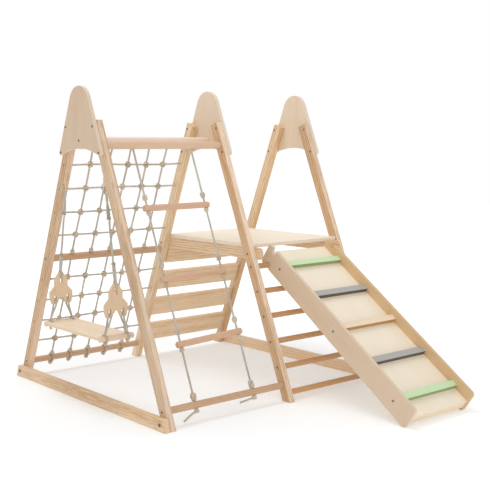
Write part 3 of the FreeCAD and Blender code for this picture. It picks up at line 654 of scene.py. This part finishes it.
@dataclass(frozen=True)
class PaintFinish(Finish):
    """Thin paint on wood: the grain shows faintly through it."""

    color: Color
    worn: Color  # where it is thinner
    roughness: float
    edge: Color  # painted shade, and partly the paint's darker look on end grain: multiplies the color on the narrow faces

    def paint(self, graph: MaterialGraph) -> None:
        """Add the nodes of one painted strip.

        Args:
            graph: Nodes of the strip's material.
        """
        fibre = graph.streaks(10.0, 380.0, 3.0, 0.6)
        cloud = graph.streaks(9.0, 24.0, 2.0)
        worn = graph.span(cloud, 0.35, 0.7, 0.15, 0.6)
        thin = graph.math("MULTIPLY", graph.span(fibre, 0.45, 0.8, 0.0, 1.0), worn)
        color = graph.mix(thin, self.color, self.worn)
        # the narrow faces get painted shade
        graph.set("Base Color", graph.with_painted_side_shading(color, self.edge))
        graph.set("Roughness", graph.span(cloud, 0.3, 0.7, self.roughness - 0.06, self.roughness + 0.08))
        graph.bump(fibre, 0.15, 0.0005)


@dataclass(frozen=True)
class RopeFinish(Finish):
    """Soft twisted rope of natural fibre, from a light and a dark tone."""

    light: Color
    dark: Color

    def paint(self, graph: MaterialGraph) -> None:
        """Add the nodes of a rope.

        Args:
            graph: Nodes of the rope's material.
        """
        fuzz = graph.noise(900.0, 3.0, 0.65)
        yarn = graph.noise(320.0, 2.0)
        soil = graph.noise(14.0, 3.0)
        tone = graph.total(
            graph.span(fuzz, 0.3, 0.75, 0.0, 0.45),
            graph.span(soil, 0.35, 0.7, 0.0, 0.4),
            graph.span(yarn, 0.4, 0.75, 0.0, 0.3),
        )
        graph.set("Base Color", graph.mix(graph.span(tone, 0.05, 1.1, 0.0, 1.0), self.light, self.dark))
        graph.set("Roughness", graph.span(fuzz, 0.2, 0.8, 0.82, 0.98))
        graph.set("Specular IOR Level", 0.15)
        graph.set("Sheen Weight", 0.25)
        graph.bump(graph.total(fuzz, yarn), 0.45, 0.0008)


@dataclass(frozen=True)
class SteelFinish(Finish):
    """Darkened steel of the screw heads, in a dark and a bright tone."""

    color: Color
    bright: Color
    roughness: float

    def paint(self, graph: MaterialGraph) -> None:
        """Add the nodes of the steel.

        Args:
            graph: Nodes of the steel's material.
        """
        cloud = graph.noise(260.0, 3.0)
        graph.set("Base Color", graph.mix(graph.span(cloud, 0.3, 0.7, 0.0, 1.0), self.color, self.bright))
        graph.set("Roughness", graph.span(cloud, 0.3, 0.7, self.roughness, self.roughness + 0.2))
        graph.set("Metallic", 0.85)
        graph.bump(cloud, 0.1, 0.0003)


# Pine of the legs and of the swing's hangers, each with an edge color that paints light and shade on the
# narrow faces: above 1 a painted sheen, below 1 painted shade
DEEP_PINE = WoodFinish(
    name="deep_pine",
    light=(0.68, 0.505, 0.348),
    dark=(0.465, 0.277, 0.14),
    rings=150.0,
    figure=0.6,
    roughness=0.5,
    knots=0.06,
    knot=(0.30, 0.15, 0.07),
    stave=0.47,
    edge=(1.135, 1.18, 1.265),
)


def leg_pine(name: str, light: Color, dark: Color, edge: Color) -> WoodFinish:
    """Pine of another tone, with the figure of DEEP_PINE and its own painted light and shade on the narrow
    faces.
    """
    return replace(DEEP_PINE, name=name, light=light, dark=dark, edge=edge)


GOLD_PINE = leg_pine("gold_pine", (0.69, 0.466, 0.276), (0.475, 0.26, 0.112), (1.3, 1.54, 2.0))
WARM_PINE = leg_pine("warm_pine", (0.845, 0.642, 0.431), (0.609, 0.376, 0.182), (0.97, 0.95, 0.93))
ASH_PINE = leg_pine("ash_pine", (0.67, 0.46, 0.287), (0.458, 0.253, 0.116), (1.165, 1.30, 1.51))
FAIR_PINE = leg_pine("fair_pine", (0.905, 0.741, 0.554), (0.652, 0.435, 0.234), (0.90, 0.83, 0.73))
HONEY_PINE = leg_pine("honey_pine", (0.76, 0.574, 0.385), (0.548, 0.335, 0.162), (0.98, 0.885, 0.75))

# Pine of the rails, slats and plain strips: light, dark, rings, figure, roughness, knots
RAIL_PINE = WoodFinish(
    "rail_pine", (0.83, 0.624, 0.42), (0.624, 0.383, 0.19), 150.0, 0.6, 0.5, knots=0.06, stave=0.58
)
SLAT_PINE = WoodFinish(
    "slat_pine", (0.804, 0.611, 0.419), (0.65, 0.429, 0.233), 120.0, 0.5, 0.5, knots=0.05
)
# paler than RAIL_PINE: painted light that stands in for the light the right floor rail lacks in the shade
# under the platform
PAINTED_LIGHT_PINE = WoodFinish(
    "painted_light_pine", (0.91, 0.70, 0.484), (0.81, 0.56, 0.346), 140.0, 0.55, 0.5, 0.05, (0.40, 0.22, 0.1), 0.58
)
# the middle tread and the batten: the edge color is painted shade on their narrow faces
TREAD_PINE = WoodFinish(
    "tread_pine", (0.88, 0.72, 0.53), (0.80, 0.61, 0.41), 120.0, 0.4, 0.5, edge=(0.585, 0.40, 0.19)
)

# Beech of the round bars and rungs: light, dark, rings, figure, roughness
BEECH = WoodFinish("beech", (0.59, 0.38, 0.235), (0.46, 0.265, 0.145), 260.0, 0.4, 0.46)
TOP_BEECH = WoodFinish("top_beech", (0.69, 0.485, 0.335), (0.55, 0.345, 0.215), 260.0, 0.3, 0.46)
SEAT_BEECH = WoodFinish("seat_beech", (0.80, 0.63, 0.46), (0.68, 0.48, 0.32), 260.0, 0.3, 0.46)
RED_BEECH = WoodFinish("red_beech", (0.66, 0.425, 0.28), (0.52, 0.30, 0.18), 260.0, 0.35, 0.46)
# paler than TOP_BEECH: a painted sheen of light falling on the top middle bar
SHEEN_PAINTED_BEECH = WoodFinish("sheen_painted_beech", (0.85, 0.69, 0.56), (0.74, 0.56, 0.42), 260.0, 0.3, 0.46)
RUNG_BEECH = WoodFinish("rung_beech", (0.61, 0.345, 0.165), (0.47, 0.235, 0.1), 260.0, 0.35, 0.46)

# Birch plywood: face, shade, layer
BIRCH = PlyFinish("birch_ply", (0.741, 0.593, 0.443), (0.665, 0.502, 0.35), (0.88, 0.79, 0.69))
TAN_BIRCH = PlyFinish("tan_birch_ply", (0.69, 0.53, 0.38), (0.615, 0.45, 0.30), (0.85, 0.75, 0.66))
DULL_BIRCH = PlyFinish("dull_birch_ply", (0.65, 0.49, 0.35), (0.58, 0.416, 0.276), (0.85, 0.75, 0.66))
WARM_BIRCH = PlyFinish("warm_birch_ply", (0.72, 0.51, 0.29), (0.62, 0.41, 0.215), (0.50, 0.32, 0.18))
ROCKET_BIRCH = PlyFinish("rocket_ply", (0.748, 0.568, 0.388), (0.653, 0.465, 0.30), (0.50, 0.32, 0.18))
SEAT_BIRCH = PlyFinish("seat_ply", (0.93, 0.77, 0.575), (0.84, 0.65, 0.45), (0.38, 0.24, 0.12))
PALE_BIRCH = PlyFinish("pale_birch_ply", (0.945, 0.845, 0.69), (0.895, 0.775, 0.595), (0.60, 0.42, 0.26))

# Paint, rope and steel
# MINT and GREY: the last color darkens the narrow faces, mostly painted shade on the treads' down-slope
# fronts
MINT = PaintFinish("mint_paint", (0.59, 0.79, 0.465), (0.675, 0.80, 0.53), 0.48, (0.51, 0.46, 0.31))
GREY = PaintFinish("grey_paint", (0.435, 0.42, 0.395), (0.50, 0.485, 0.45), 0.5, (0.24, 0.19, 0.13))
COTTON = RopeFinish("natural_rope", (0.61, 0.56, 0.48), (0.39, 0.348, 0.282))
KNOT_COTTON = RopeFinish("knotted_rope", (0.74, 0.63, 0.49), (0.42, 0.33, 0.235))
TWINE = RopeFinish("binding_twine", (0.58, 0.46, 0.34), (0.42, 0.31, 0.21))
STEEL = SteelFinish("dark_steel", (0.16, 0.12, 0.09), (0.272, 0.204, 0.153), 0.38)


@dataclass(frozen=True)
class WoodWork:
    """Gives every wooden and steel node its finish."""

    sides: LeaningSides
    ramp_slope_deg: float = 34.67

    @staticmethod
    def put(node: str, finish: Finish, grain: Grain | None = None) -> None:
        """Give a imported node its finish.

        Args:
            node: Name of the node.
            finish: The finish.
            grain: Directions of a wooden node.
        """
        material = finish.material(grain)
        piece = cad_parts[node]
        if not piece.material_slots:
            piece.data.materials.append(material)
        for slot in piece.material_slots:
            slot.material = material
        LOG.info("%s: %s", node, finish.name)

    def dress(self) -> None:
        """Finish all the nodes that stay, each wooden one with its own figure."""
        front = self.sides.up(Slope.FRONT)
        rear = self.sides.up(Slope.REAR)
        slope = math.radians(self.ramp_slope_deg)
        ramp = Vector((0.0, math.cos(slope), math.sin(slope)))
        ramp_up = Vector((0.0, -math.sin(slope), math.cos(slope)))
        # Finish, direction of the fibres, direction through the broad face, nodes
        work = (
            (DEEP_PINE, front, X, "left_front_leg"),
            (GOLD_PINE, front, X, "middle_front_leg", "right_front_leg"),
            (ASH_PINE, rear, X, "left_rear_leg"),
            (FAIR_PINE, rear, X, "middle_rear_leg"),
            (HONEY_PINE, rear, X, "right_rear_leg"),
            (RAIL_PINE, Y, X, "left_floor_rail", "platform_rail_left", "platform_rail_right"),
            # the paler pine of this rail is painted light
            (PAINTED_LIGHT_PINE, Y, X, "right_floor_rail"),
            (DULL_BIRCH, Z, X, "left_apex_plate"),
            (BIRCH, Z, X, "middle_apex_plate", "right_apex_plate"),
            (TOP_BEECH, X, Z, "top_front_bar", "top_rear_bar"),
            (SEAT_BEECH, X, Z, "seat_bar_rear", "seat_bar_front"),
            # the top middle bar's paler beech is a painted sheen
            (SHEEN_PAINTED_BEECH, X, Z, "top_center_bar"),
            (BEECH, X, Z, "middle_rear_bar", "bottom_rear_bar", "bottom_front_bar"),
            (RED_BEECH, X, Z, *(f"ladder_rung_{i}" for i in range(1, 4))),
            (RUNG_BEECH, X, Z, *(f"front_rung_{i}" for i in range(1, 7))),
            (PALE_BIRCH, X, Z, "platform_board"),
            (SLAT_PINE, X, self.sides.out(Slope.REAR), *(f"rear_slat_{i}" for i in range(1, 5))),
            (TAN_BIRCH, ramp, X, "ramp_panel_left"),
            (WARM_BIRCH, ramp, X, "ramp_panel_right"),
            (PALE_BIRCH, ramp, ramp_up, "ramp_board"),
            (MINT, X, ramp_up, "ramp_tread_1", "ramp_tread_5"),
            (GREY, X, ramp_up, "ramp_tread_2", "ramp_tread_4"),
            (TREAD_PINE, X, ramp_up, "ramp_tread_3"),
            (TREAD_PINE, X, Y, "ramp_batten"),
            (SEAT_BIRCH, Y, Z, "swing_seat"),
            (ROCKET_BIRCH, Z, Y, "rocket_rear", "rocket_front"),
            (WARM_PINE, Z, X, "swing_hangers"),
        )
        seed = 0
        for finish, along, face, *nodes in work:
            for node in nodes:
                seed += 1
                self.put(node, finish, Grain(along, face, seed))
        for node in ("frame_screws", "ramp_screws"):
            self.put(node, STEEL)


@dataclass
class RopeTail:
    """Free end of a ladder rope, which pokes out of its lowest knot."""

    node: str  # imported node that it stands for
    points: tuple[Triple, ...]  # of its route in mm, the first in the knot
    length: float  # along the route in mm
    stock: RopeStock

    def build(self) -> None:
        spots = [Vector(point) * MM for point in self.points]
        line = self.stock.route(spots)
        rope = RopePiece(self.node.replace("ladder_tail", "laid_tail"), self.stock)
        rope.add(self.stock.strands(line))
        piece = rope.make("frame", self.node)


@dataclass
class RopeNet:
    """Knotted net on the rear slope, in two panels between three bars. Sizes in mm."""

    sides: LeaningSides
    stock: RopeStock
    left: float = 42.0  # inner face of the left leg
    right: float = 623.0  # inner face of the middle leg
    columns: int = 5  # ropes up the slope
    upper_rows: tuple[float, ...] = (977.0, 874.67, 772.33, 670.0)  # heights of the level ropes
    lower_rows: tuple[float, ...] = (466.75, 368.25, 269.75, 171.25)
    top_bar: Bar = (1061.0, 32.0)
    middle_bar: Bar = (566.0, 32.0)
    low_bar: Bar = (72.0, 28.0)
    into_leg: float = 12.0  # of the level ropes
    into_bar: float = 3.0  # of the others
    ring_gap: float = 0.1  # round the low bar
    knot_drop: float = 2.6  # under the low bar
    wander: float = 3.2  # of a knot from the even grid

    def spot(self, x: float, z: float) -> Vector:
        """Point on the rear slope in metres."""
        return self.sides.point(Slope.REAR, x, z)

    def strayed(self, x: float, z: float, number: int) -> Vector:
        """Move a crossing a little within the net's plane, as a hand-tied knot is.

        Args:
            x: Place along the bars.
            z: Height.
            number: Number of the crossing.

        Returns:
            The crossing in metres.
        """
        along = self.wander * math.sin(2.4 * number + 0.7)
        up = self.wander * math.sin(3.7 * number + 1.9)
        return self.spot(x + along, z) + self.sides.up(Slope.REAR) * up * MM

    def panel(self, part: str, rows: Sequence[float], high: Bar, low: Bar, knots_under: bool) -> None:
        """Tie one panel. Each rope and knot is turned by its number, so that no two look alike.

        Args:
            part: upper or lower.
            rows: Heights of the level ropes, from the top.
            high: Upper bar.
            low: Lower bar.
            knots_under: True where the rope goes round the lower bar and ends in a knot under it.
        """
        rope = RopePiece(f"tied_net_{part}", self.stock)
        up = self.sides.up(Slope.REAR)
        pitch = (self.right - self.left) / (self.columns + 1)
        ropes = [self.left + pitch * (i + 1) for i in range(self.columns)]
        grid = [[self.strayed(x, z, 7 * i + 3 * j) for j, z in enumerate(rows)] for i, x in enumerate(ropes)]
        for number, x in enumerate(ropes):
            middle = self.spot(x, low[0])
            top = self.spot(x, high[0]) - up * (high[1] / 2 - self.into_bar) * MM
            foot = middle + up * (low[1] / 2 - self.into_bar) * MM
            rope.add(self.stock.laid([top] + grid[number] + [foot], False, 0.9 * number))
            seat = (low[1] / 2 + Knot.STOPPER.value[1] / 2) * MM
            rope.tie(Knot.STOPPER, middle + up * seat, up, 1.3 * number + 1.0)
            if knots_under:
                radius = (low[1] + self.stock.diameter) / 2 + self.ring_gap
                rope.add(self.stock.winding(middle, X, radius))
                under = middle - up * (seat + self.knot_drop * MM)
                rope.tie(Knot.STOPPER, under, up, 1.3 * number - 1.0)
        for row, z in enumerate(rows):
            level = [column[row] for column in grid]
            start = [self.spot(self.left - self.into_leg, z), self.spot(self.left, z)]
            end = [self.spot(self.right, z), self.spot(self.right + self.into_leg, z)]
            rope.add(self.stock.laid(start + level + end, False, 1.7 * row))
            for number, crossing in enumerate(level):
                lean = X.lerp(up, 0.75).normalized() if (row + number) % 2 else up
                rope.tie(Knot.NET, crossing, lean, 2.1 * number + 0.8 * row)
        rope.make("frame", f"net_{part}")

    def build(self) -> None:
        """Tie both panels."""
        self.panel("upper", self.upper_rows, self.top_bar, self.middle_bar, False)
        self.panel("lower", self.lower_rows, self.middle_bar, self.low_bar, True)


@dataclass
class RopeLadder:
    """Two taut ropes on the front slope with a knot above and below each rung. Sizes in mm."""

    sides: LeaningSides
    stock: RopeStock
    xs: tuple[float, float] = (169.0, 464.0)
    top: Bar = (1061.0, 32.0)
    foot: Bar = (66.0, 28.0)
    rungs: Triple = (809.0, 532.0, 288.0)  # heights at the left rope
    tilts: Triple = (2.0, 8.0, 12.0)  # how much higher they are at the right rope
    rung_diameter: float = 26.0
    knot_rise: float = 9.0  # from a rung or bar to the middle of the knot under it
    clear_rises: Triple = (44.0, 59.0, 51.0)  # from a rung's middle to the knot above it
    into_bar: float = 3.0

    def build(self) -> None:
        """Tie both ropes: the rungs hang on the knots under them, the knots above stand clear."""
        up = self.sides.up(Slope.FRONT)
        for number, (name, x) in enumerate(zip(("left", "right"), self.xs)):
            rope = RopePiece(f"laid_ladder_rope_{name}", self.stock)
            foot = self.sides.point(Slope.FRONT, x, self.foot[0])
            end = foot - up * (self.foot[1] / 2 + self.knot_rise) * MM
            bar = self.sides.point(Slope.FRONT, x, self.top[0])
            start = bar - up * (self.top[1] / 2 - self.into_bar) * MM
            rope.add(self.stock.laid([start, start.lerp(end, 0.5), end]))
            for index, (z, tilt, rise) in enumerate(zip(self.rungs, self.tilts, self.clear_rises)):
                middle = self.sides.point(Slope.FRONT, x, z + tilt * number)
                turn = 1.1 * index + 2.0 * number
                above = middle + up * rise * MM
                under = middle - up * (self.rung_diameter / 2 + self.knot_rise) * MM
                rope.tie(Knot.CLEAR, above, up, turn)
                rope.tie(Knot.STOPPER, under, -up, turn + 1.0)
            base = foot + up * (self.foot[1] + Knot.BASE.value[1]) / 2 * MM
            rope.tie(Knot.BASE, base, up, 0.6 + number)
            rope.tie(Knot.STOPPER, end, -up, 1.7 + number)
            rope.make("frame", f"ladder_rope_{name}")


@dataclass
class SwingRopes:
    """Ropes of the swing, from the hanger pins to the seat. Sizes in mm, twists in radians."""

    stock: RopeStock
    loop: RopeStock  # thicker rope of the rings
    twine: RopeStock  # binds the splices
    x: float = 19.5  # middle plane of the swing
    eye_y: float = 159.87  # hanger pins from the middle
    pivot_z: float = 880.0
    eye_radius: float = 10.8
    half: float = 216.0  # rockets from the middle
    nose_z: float = 513.0  # hole in a rocket's nose
    nose_radius: float = 12.9
    bend: float = 6.0  # in which a loop turns into a hole
    splice: float = 95.0  # length under the eye
    splice_drop: float = 8.0  # from the eye
    splice_twist: float = 3.0
    clear: float = 20.0  # from the eye to the pair of ropes
    nose_splice: float = 70.0  # length above the rocket
    nose_drop: float = 6.0
    nose_twist: float = 2.2
    lead: float = 20.0  # in which two ropes become one
    bind_radius: float = 8.0
    bind_turns: float = 5.0
    high_bind: float = 9.0  # from the upper splice's end
    low_bind: float = 3.0  # from the lower splice's end
    face: float = 11.1  # a loop's ropes from the rocket's middle plane
    slot_half: float = 30.0  # slots from the middle
    over_z: float = 398.6  # seat rope in a slot
    under_z: float = 377.5  # seat rope under the rocket
    rocket_low: float = 382.0
    join: float = 40.0  # from there to where a seat rope's two sides meet
    seat_twist: float = 0.5
    bar_half: float = 52.0  # seat ropes on a bar from its middle
    bar_y: float = 217.0
    bar_z: float = 300.5
    bar_ring: float = 17.1  # radius round a bar
    tie_drop: float = 21.6  # from a bar to its knot

    @property
    def gap(self) -> float:
        """Distance of each of two joined ropes, pressed together, from their common middle, in metres."""
        return self.stock.diameter * 0.44 * MM

    def beside(self, start: Vector, end: Vector, way: int, twist: float) -> Line:
        """One of two ropes that lie side by side and turn about each other.

        Args:
            start: Start of their common middle in metres, where they lie apart along Y.
            end: End of their common middle.
            way: 1 or -1 for one rope or the other.
            twist: Turn from start to end in radians.

        Returns:
            Five points along the rope.
        """
        run = (end - start).normalized()
        arm = (Y - run * Y.dot(run)).normalized() * self.gap * way
        return [start.lerp(end, i / 4) + Quaternion(run, twist * i / 4) @ arm for i in range(5)]

    @staticmethod
    def there_and_back(way: Sequence[tuple[float, float]]) -> list[tuple[float, float]]:
        """Points of one side of a loop, and those of its mirrored other side."""
        return list(way) + [(-y, z) for y, z in reversed(way) if y]

    def hanging_rope(self, name: str, side: int) -> None:
        """Lay one hanging rope with its eye, its two splices and the loop through the rocket's nose.

        Args:
            name: rear or front.
            side: 1 for the rear, -1 for the front.
        """
        rope = RopePiece(f"laid_swing_rope_{name}", self.stock)
        eye = Vector((self.x, side * self.eye_y, self.pivot_z)) * MM
        nose = Vector((self.x, side * self.half, self.nose_z)) * MM
        start = eye - Z * self.eye_radius * MM
        end = nose + Z * self.nose_radius * MM
        run = (end - start).normalized()
        rope.add(self.loop.winding(eye, Y, self.eye_radius))
        high = (start + run * self.clear * MM, start + run * (self.splice_drop + self.splice) * MM)
        low = (end - run * self.nose_drop * MM, end - run * (self.nose_drop + self.nose_splice) * MM)
        lead = run * self.lead * MM
        rope.add(self.stock.laid([start] + self.beside(*high, -1, self.splice_twist)))
        down = [start] + self.beside(*high, 1, self.splice_twist)
        down += [high[1] + lead, high[1].lerp(low[1], 0.5), low[1] - lead]
        down += self.beside(*low, 1, self.nose_twist)[::-1]
        for y, z in self.there_and_back([(1.0, 2.0), (1.0, -self.bend), (0.6, -self.nose_radius)]):
            down.append(nose + Vector((0.0, y * self.face, z)) * MM)
        down += self.beside(*low, -1, self.nose_twist)
        rope.add(self.stock.laid(down))
        rope.make("swing", f"swing_rope_{name}")
        binding = RopePiece(f"splice_binding_{name}", self.twine)
        pitch = self.twine.diameter * 0.95
        for place in (high[1] - run * self.high_bind * MM, low[1] + run * self.low_bind * MM):
            binding.add(self.twine.winding(place, run, self.bind_radius, self.bind_turns, pitch))
        binding.make("swing")

    def seat_ropes(self) -> None:
        """Lay the four seat ropes: a loop through the rocket's slot that closes above the ring on the bar."""
        rope = RopePiece("laid_seat_ropes", self.stock)
        slot = [(1, self.under_z), (1, self.over_z - self.bend), (1, self.over_z), (0, self.over_z)]
        corners = [(side, way) for side in (1, -1) for way in (-1, 1)]
        for number, (side, way) in enumerate(corners):
            slot_x = self.x + way * self.slot_half
            plane = side * self.half
            bar = Vector((self.x + way * self.bar_half, side * self.bar_y, self.bar_z)) * MM
            top = bar + Z * self.bar_ring * MM
            foot = Vector((slot_x, plane, self.rocket_low)) * MM
            join = foot + (top - foot).normalized() * self.join * MM
            points = self.beside(join, top, 1, self.seat_twist)[::-1]
            for y, z in self.there_and_back(slot):
                points.append(Vector((slot_x, plane + y * self.face, z)) * MM)
            points += self.beside(join, top, -1, self.seat_twist)
            rope.add(self.stock.laid(points))
            rope.add(self.loop.winding(bar, X, self.bar_ring))
            rope.tie(Knot.TIE, bar - Z * self.tie_drop * MM, X, 1.7 * number)
        rope.make("swing", "seat_ropes")

    def build(self) -> None:
        """Lay all the swing's ropes."""
        self.hanging_rope("rear", 1)
        self.hanging_rope("front", -1)
        self.seat_ropes()


@dataclass
class Studio:
    """Camera, floor and light."""

    eye: Triple = (-1.9688, -3.3203, 1.0612)
    turn_deg: float = -40.642  # about the upright, 0 looking along +Y
    tilt_deg: float = 6.115  # down
    lens: float = 68.47  # mm
    sensor: float = 36.0  # mm
    surround: float = 0.64  # strength at which the surroundings light the object
    floor_half: float = 12.0
    floor_place: Triple = (0.5, 0.0, -0.0005)  # just under the feet
    floor_tones: tuple[Color, Color] = ((0.80, 0.815, 0.825), (0.82, 0.835, 0.845))
    glow_reach: tuple[float, float] = (0.7, 2.4)  # from the middle, in metres
    glow: tuple[float, float] = (0.25, 0.55)  # painted light of the floor, near the object and far from it

    def camera(self) -> None:
        """Put the camera where the photograph was taken."""
        data = bpy.data.cameras.new("camera")
        data.lens = self.lens
        data.sensor_width = self.sensor
        camera = bpy.data.objects.new("camera", data)
        camera.location = self.eye
        camera.rotation_euler = (math.radians(90.0 - self.tilt_deg), 0.0, math.radians(self.turn_deg))
        bpy.context.scene.collection.objects.link(camera)
        bpy.context.scene.camera = camera

    def world(self) -> None:
        """White surroundings to the camera, gloss and glass, that light the object at a plain level."""
        world = bpy.data.worlds.new("surroundings")
        bpy.context.scene.world = world
        world.use_nodes = True
        graph = NodeGraph(world.node_tree)
        rays = graph.add("LightPath").outputs
        seen = graph.math("MAXIMUM", rays["Is Camera Ray"], rays["Is Glossy Ray"])
        seen = graph.math("MAXIMUM", seen, rays["Is Transmission Ray"])
        background = graph.nodes["Background"]
        graph.put(background.inputs["Color"], (1.0, 1.0, 1.0, 1.0))
        graph.put(background.inputs["Strength"], graph.span(seen, 0.0, 1.0, self.surround, 1.0))

    def floor(self) -> None:
        """Pale floor that keeps the object's shadow and glows towards its far edge. The glow is painted light
        that also lights the object from below, and is weaker near the object, so the floor is darker round
        it.
        """
        bpy.ops.object.select_all(action="DESELECT")
        bpy.ops.mesh.primitive_plane_add(size=2 * self.floor_half, location=self.floor_place)
        floor = bpy.context.object
        floor.name = "floor"
        graph = MaterialGraph("pale_floor")
        cloud = graph.span(graph.noise(1.3, 2.0), 0.3, 0.7, 0.0, 1.0)
        away = graph.add("VectorMath", {"operation": "LENGTH"}, graph.place)
        graph.set("Base Color", graph.mix(cloud, *self.floor_tones))
        graph.set("Roughness", 0.9)
        graph.set("Specular IOR Level", 0.1)
        # painted light: the floor glows for every ray, so it also lights the object
        graph.set("Emission Color", (1.0, 1.0, 1.0, 1.0))
        graph.set("Emission Strength", graph.span(away.outputs["Value"], *self.glow_reach, *self.glow))
        floor.data.materials.append(graph.material)

    def lamp(self, name: str, place: Triple, aim: Triple, size: float, power: float) -> None:
        """Hang one soft box.

        Args:
            name: Name of the lamp.
            place: Where it hangs.
            aim: What it points at.
            size: Width of the box in metres.
            power: Power in watts.
        """
        data = bpy.data.lights.new(name, "AREA")
        data.shape = "SQUARE"
        data.size = size
        data.energy = power
        lamp = bpy.data.objects.new(name, data)
        lamp.location = place
        lamp.rotation_euler = (Vector(aim) - Vector(place)).to_track_quat("-Z", "Y").to_euler()
        bpy.context.scene.collection.objects.link(lamp)

    def build(self) -> None:
        """Set up the camera, the surroundings, the floor, an overhead soft box and a weaker one in front."""
        bpy.context.scene.view_settings.view_transform = "Standard"
        self.camera()
        self.world()
        self.floor()
        self.lamp("overhead", place=(0.1, 0.6, 3.9), aim=(0.55, -0.1, 0.5), size=2.2, power=46.0)
        self.lamp("front", place=(-1.6, -4.2, 1.9), aim=(0.6, 0.0, 0.5), size=2.4, power=33.0)


def main() -> None:
    """Build the scene."""
    logging.basicConfig(level=logging.INFO, format="%(name)s %(message)s")
    Studio().build()
    sides = LeaningSides()
    rope = RopeStock(diameter=9.0, lay=28.0, step=3.4, finishes=(COTTON, KNOT_COTTON))
    loop = replace(rope, diameter=10.0, step=2.8)
    twine = RopeStock(diameter=1.8, lay=6.0, step=1.2, finishes=(TWINE,))
    left = ((160.5, -542.60, 40.06), (141.7, -538.20, 29.46), (118.0, -531.40, 8.26))
    right = ((455.1, -541.10, 42.06), (433.7, -532.70, 35.36), (405.7, -522.72, 28.44))
    RopeTail("ladder_tail_left", left, 54.5, rope).build()
    RopeTail("ladder_tail_right", right, 54.5, rope).build()
    RopeNet(sides, rope).build()
    RopeLadder(sides, rope).build()
    SwingRopes(rope, loop, twine).build()
    WoodWork(sides).dress()


if __name__ == "__main__":
    main()
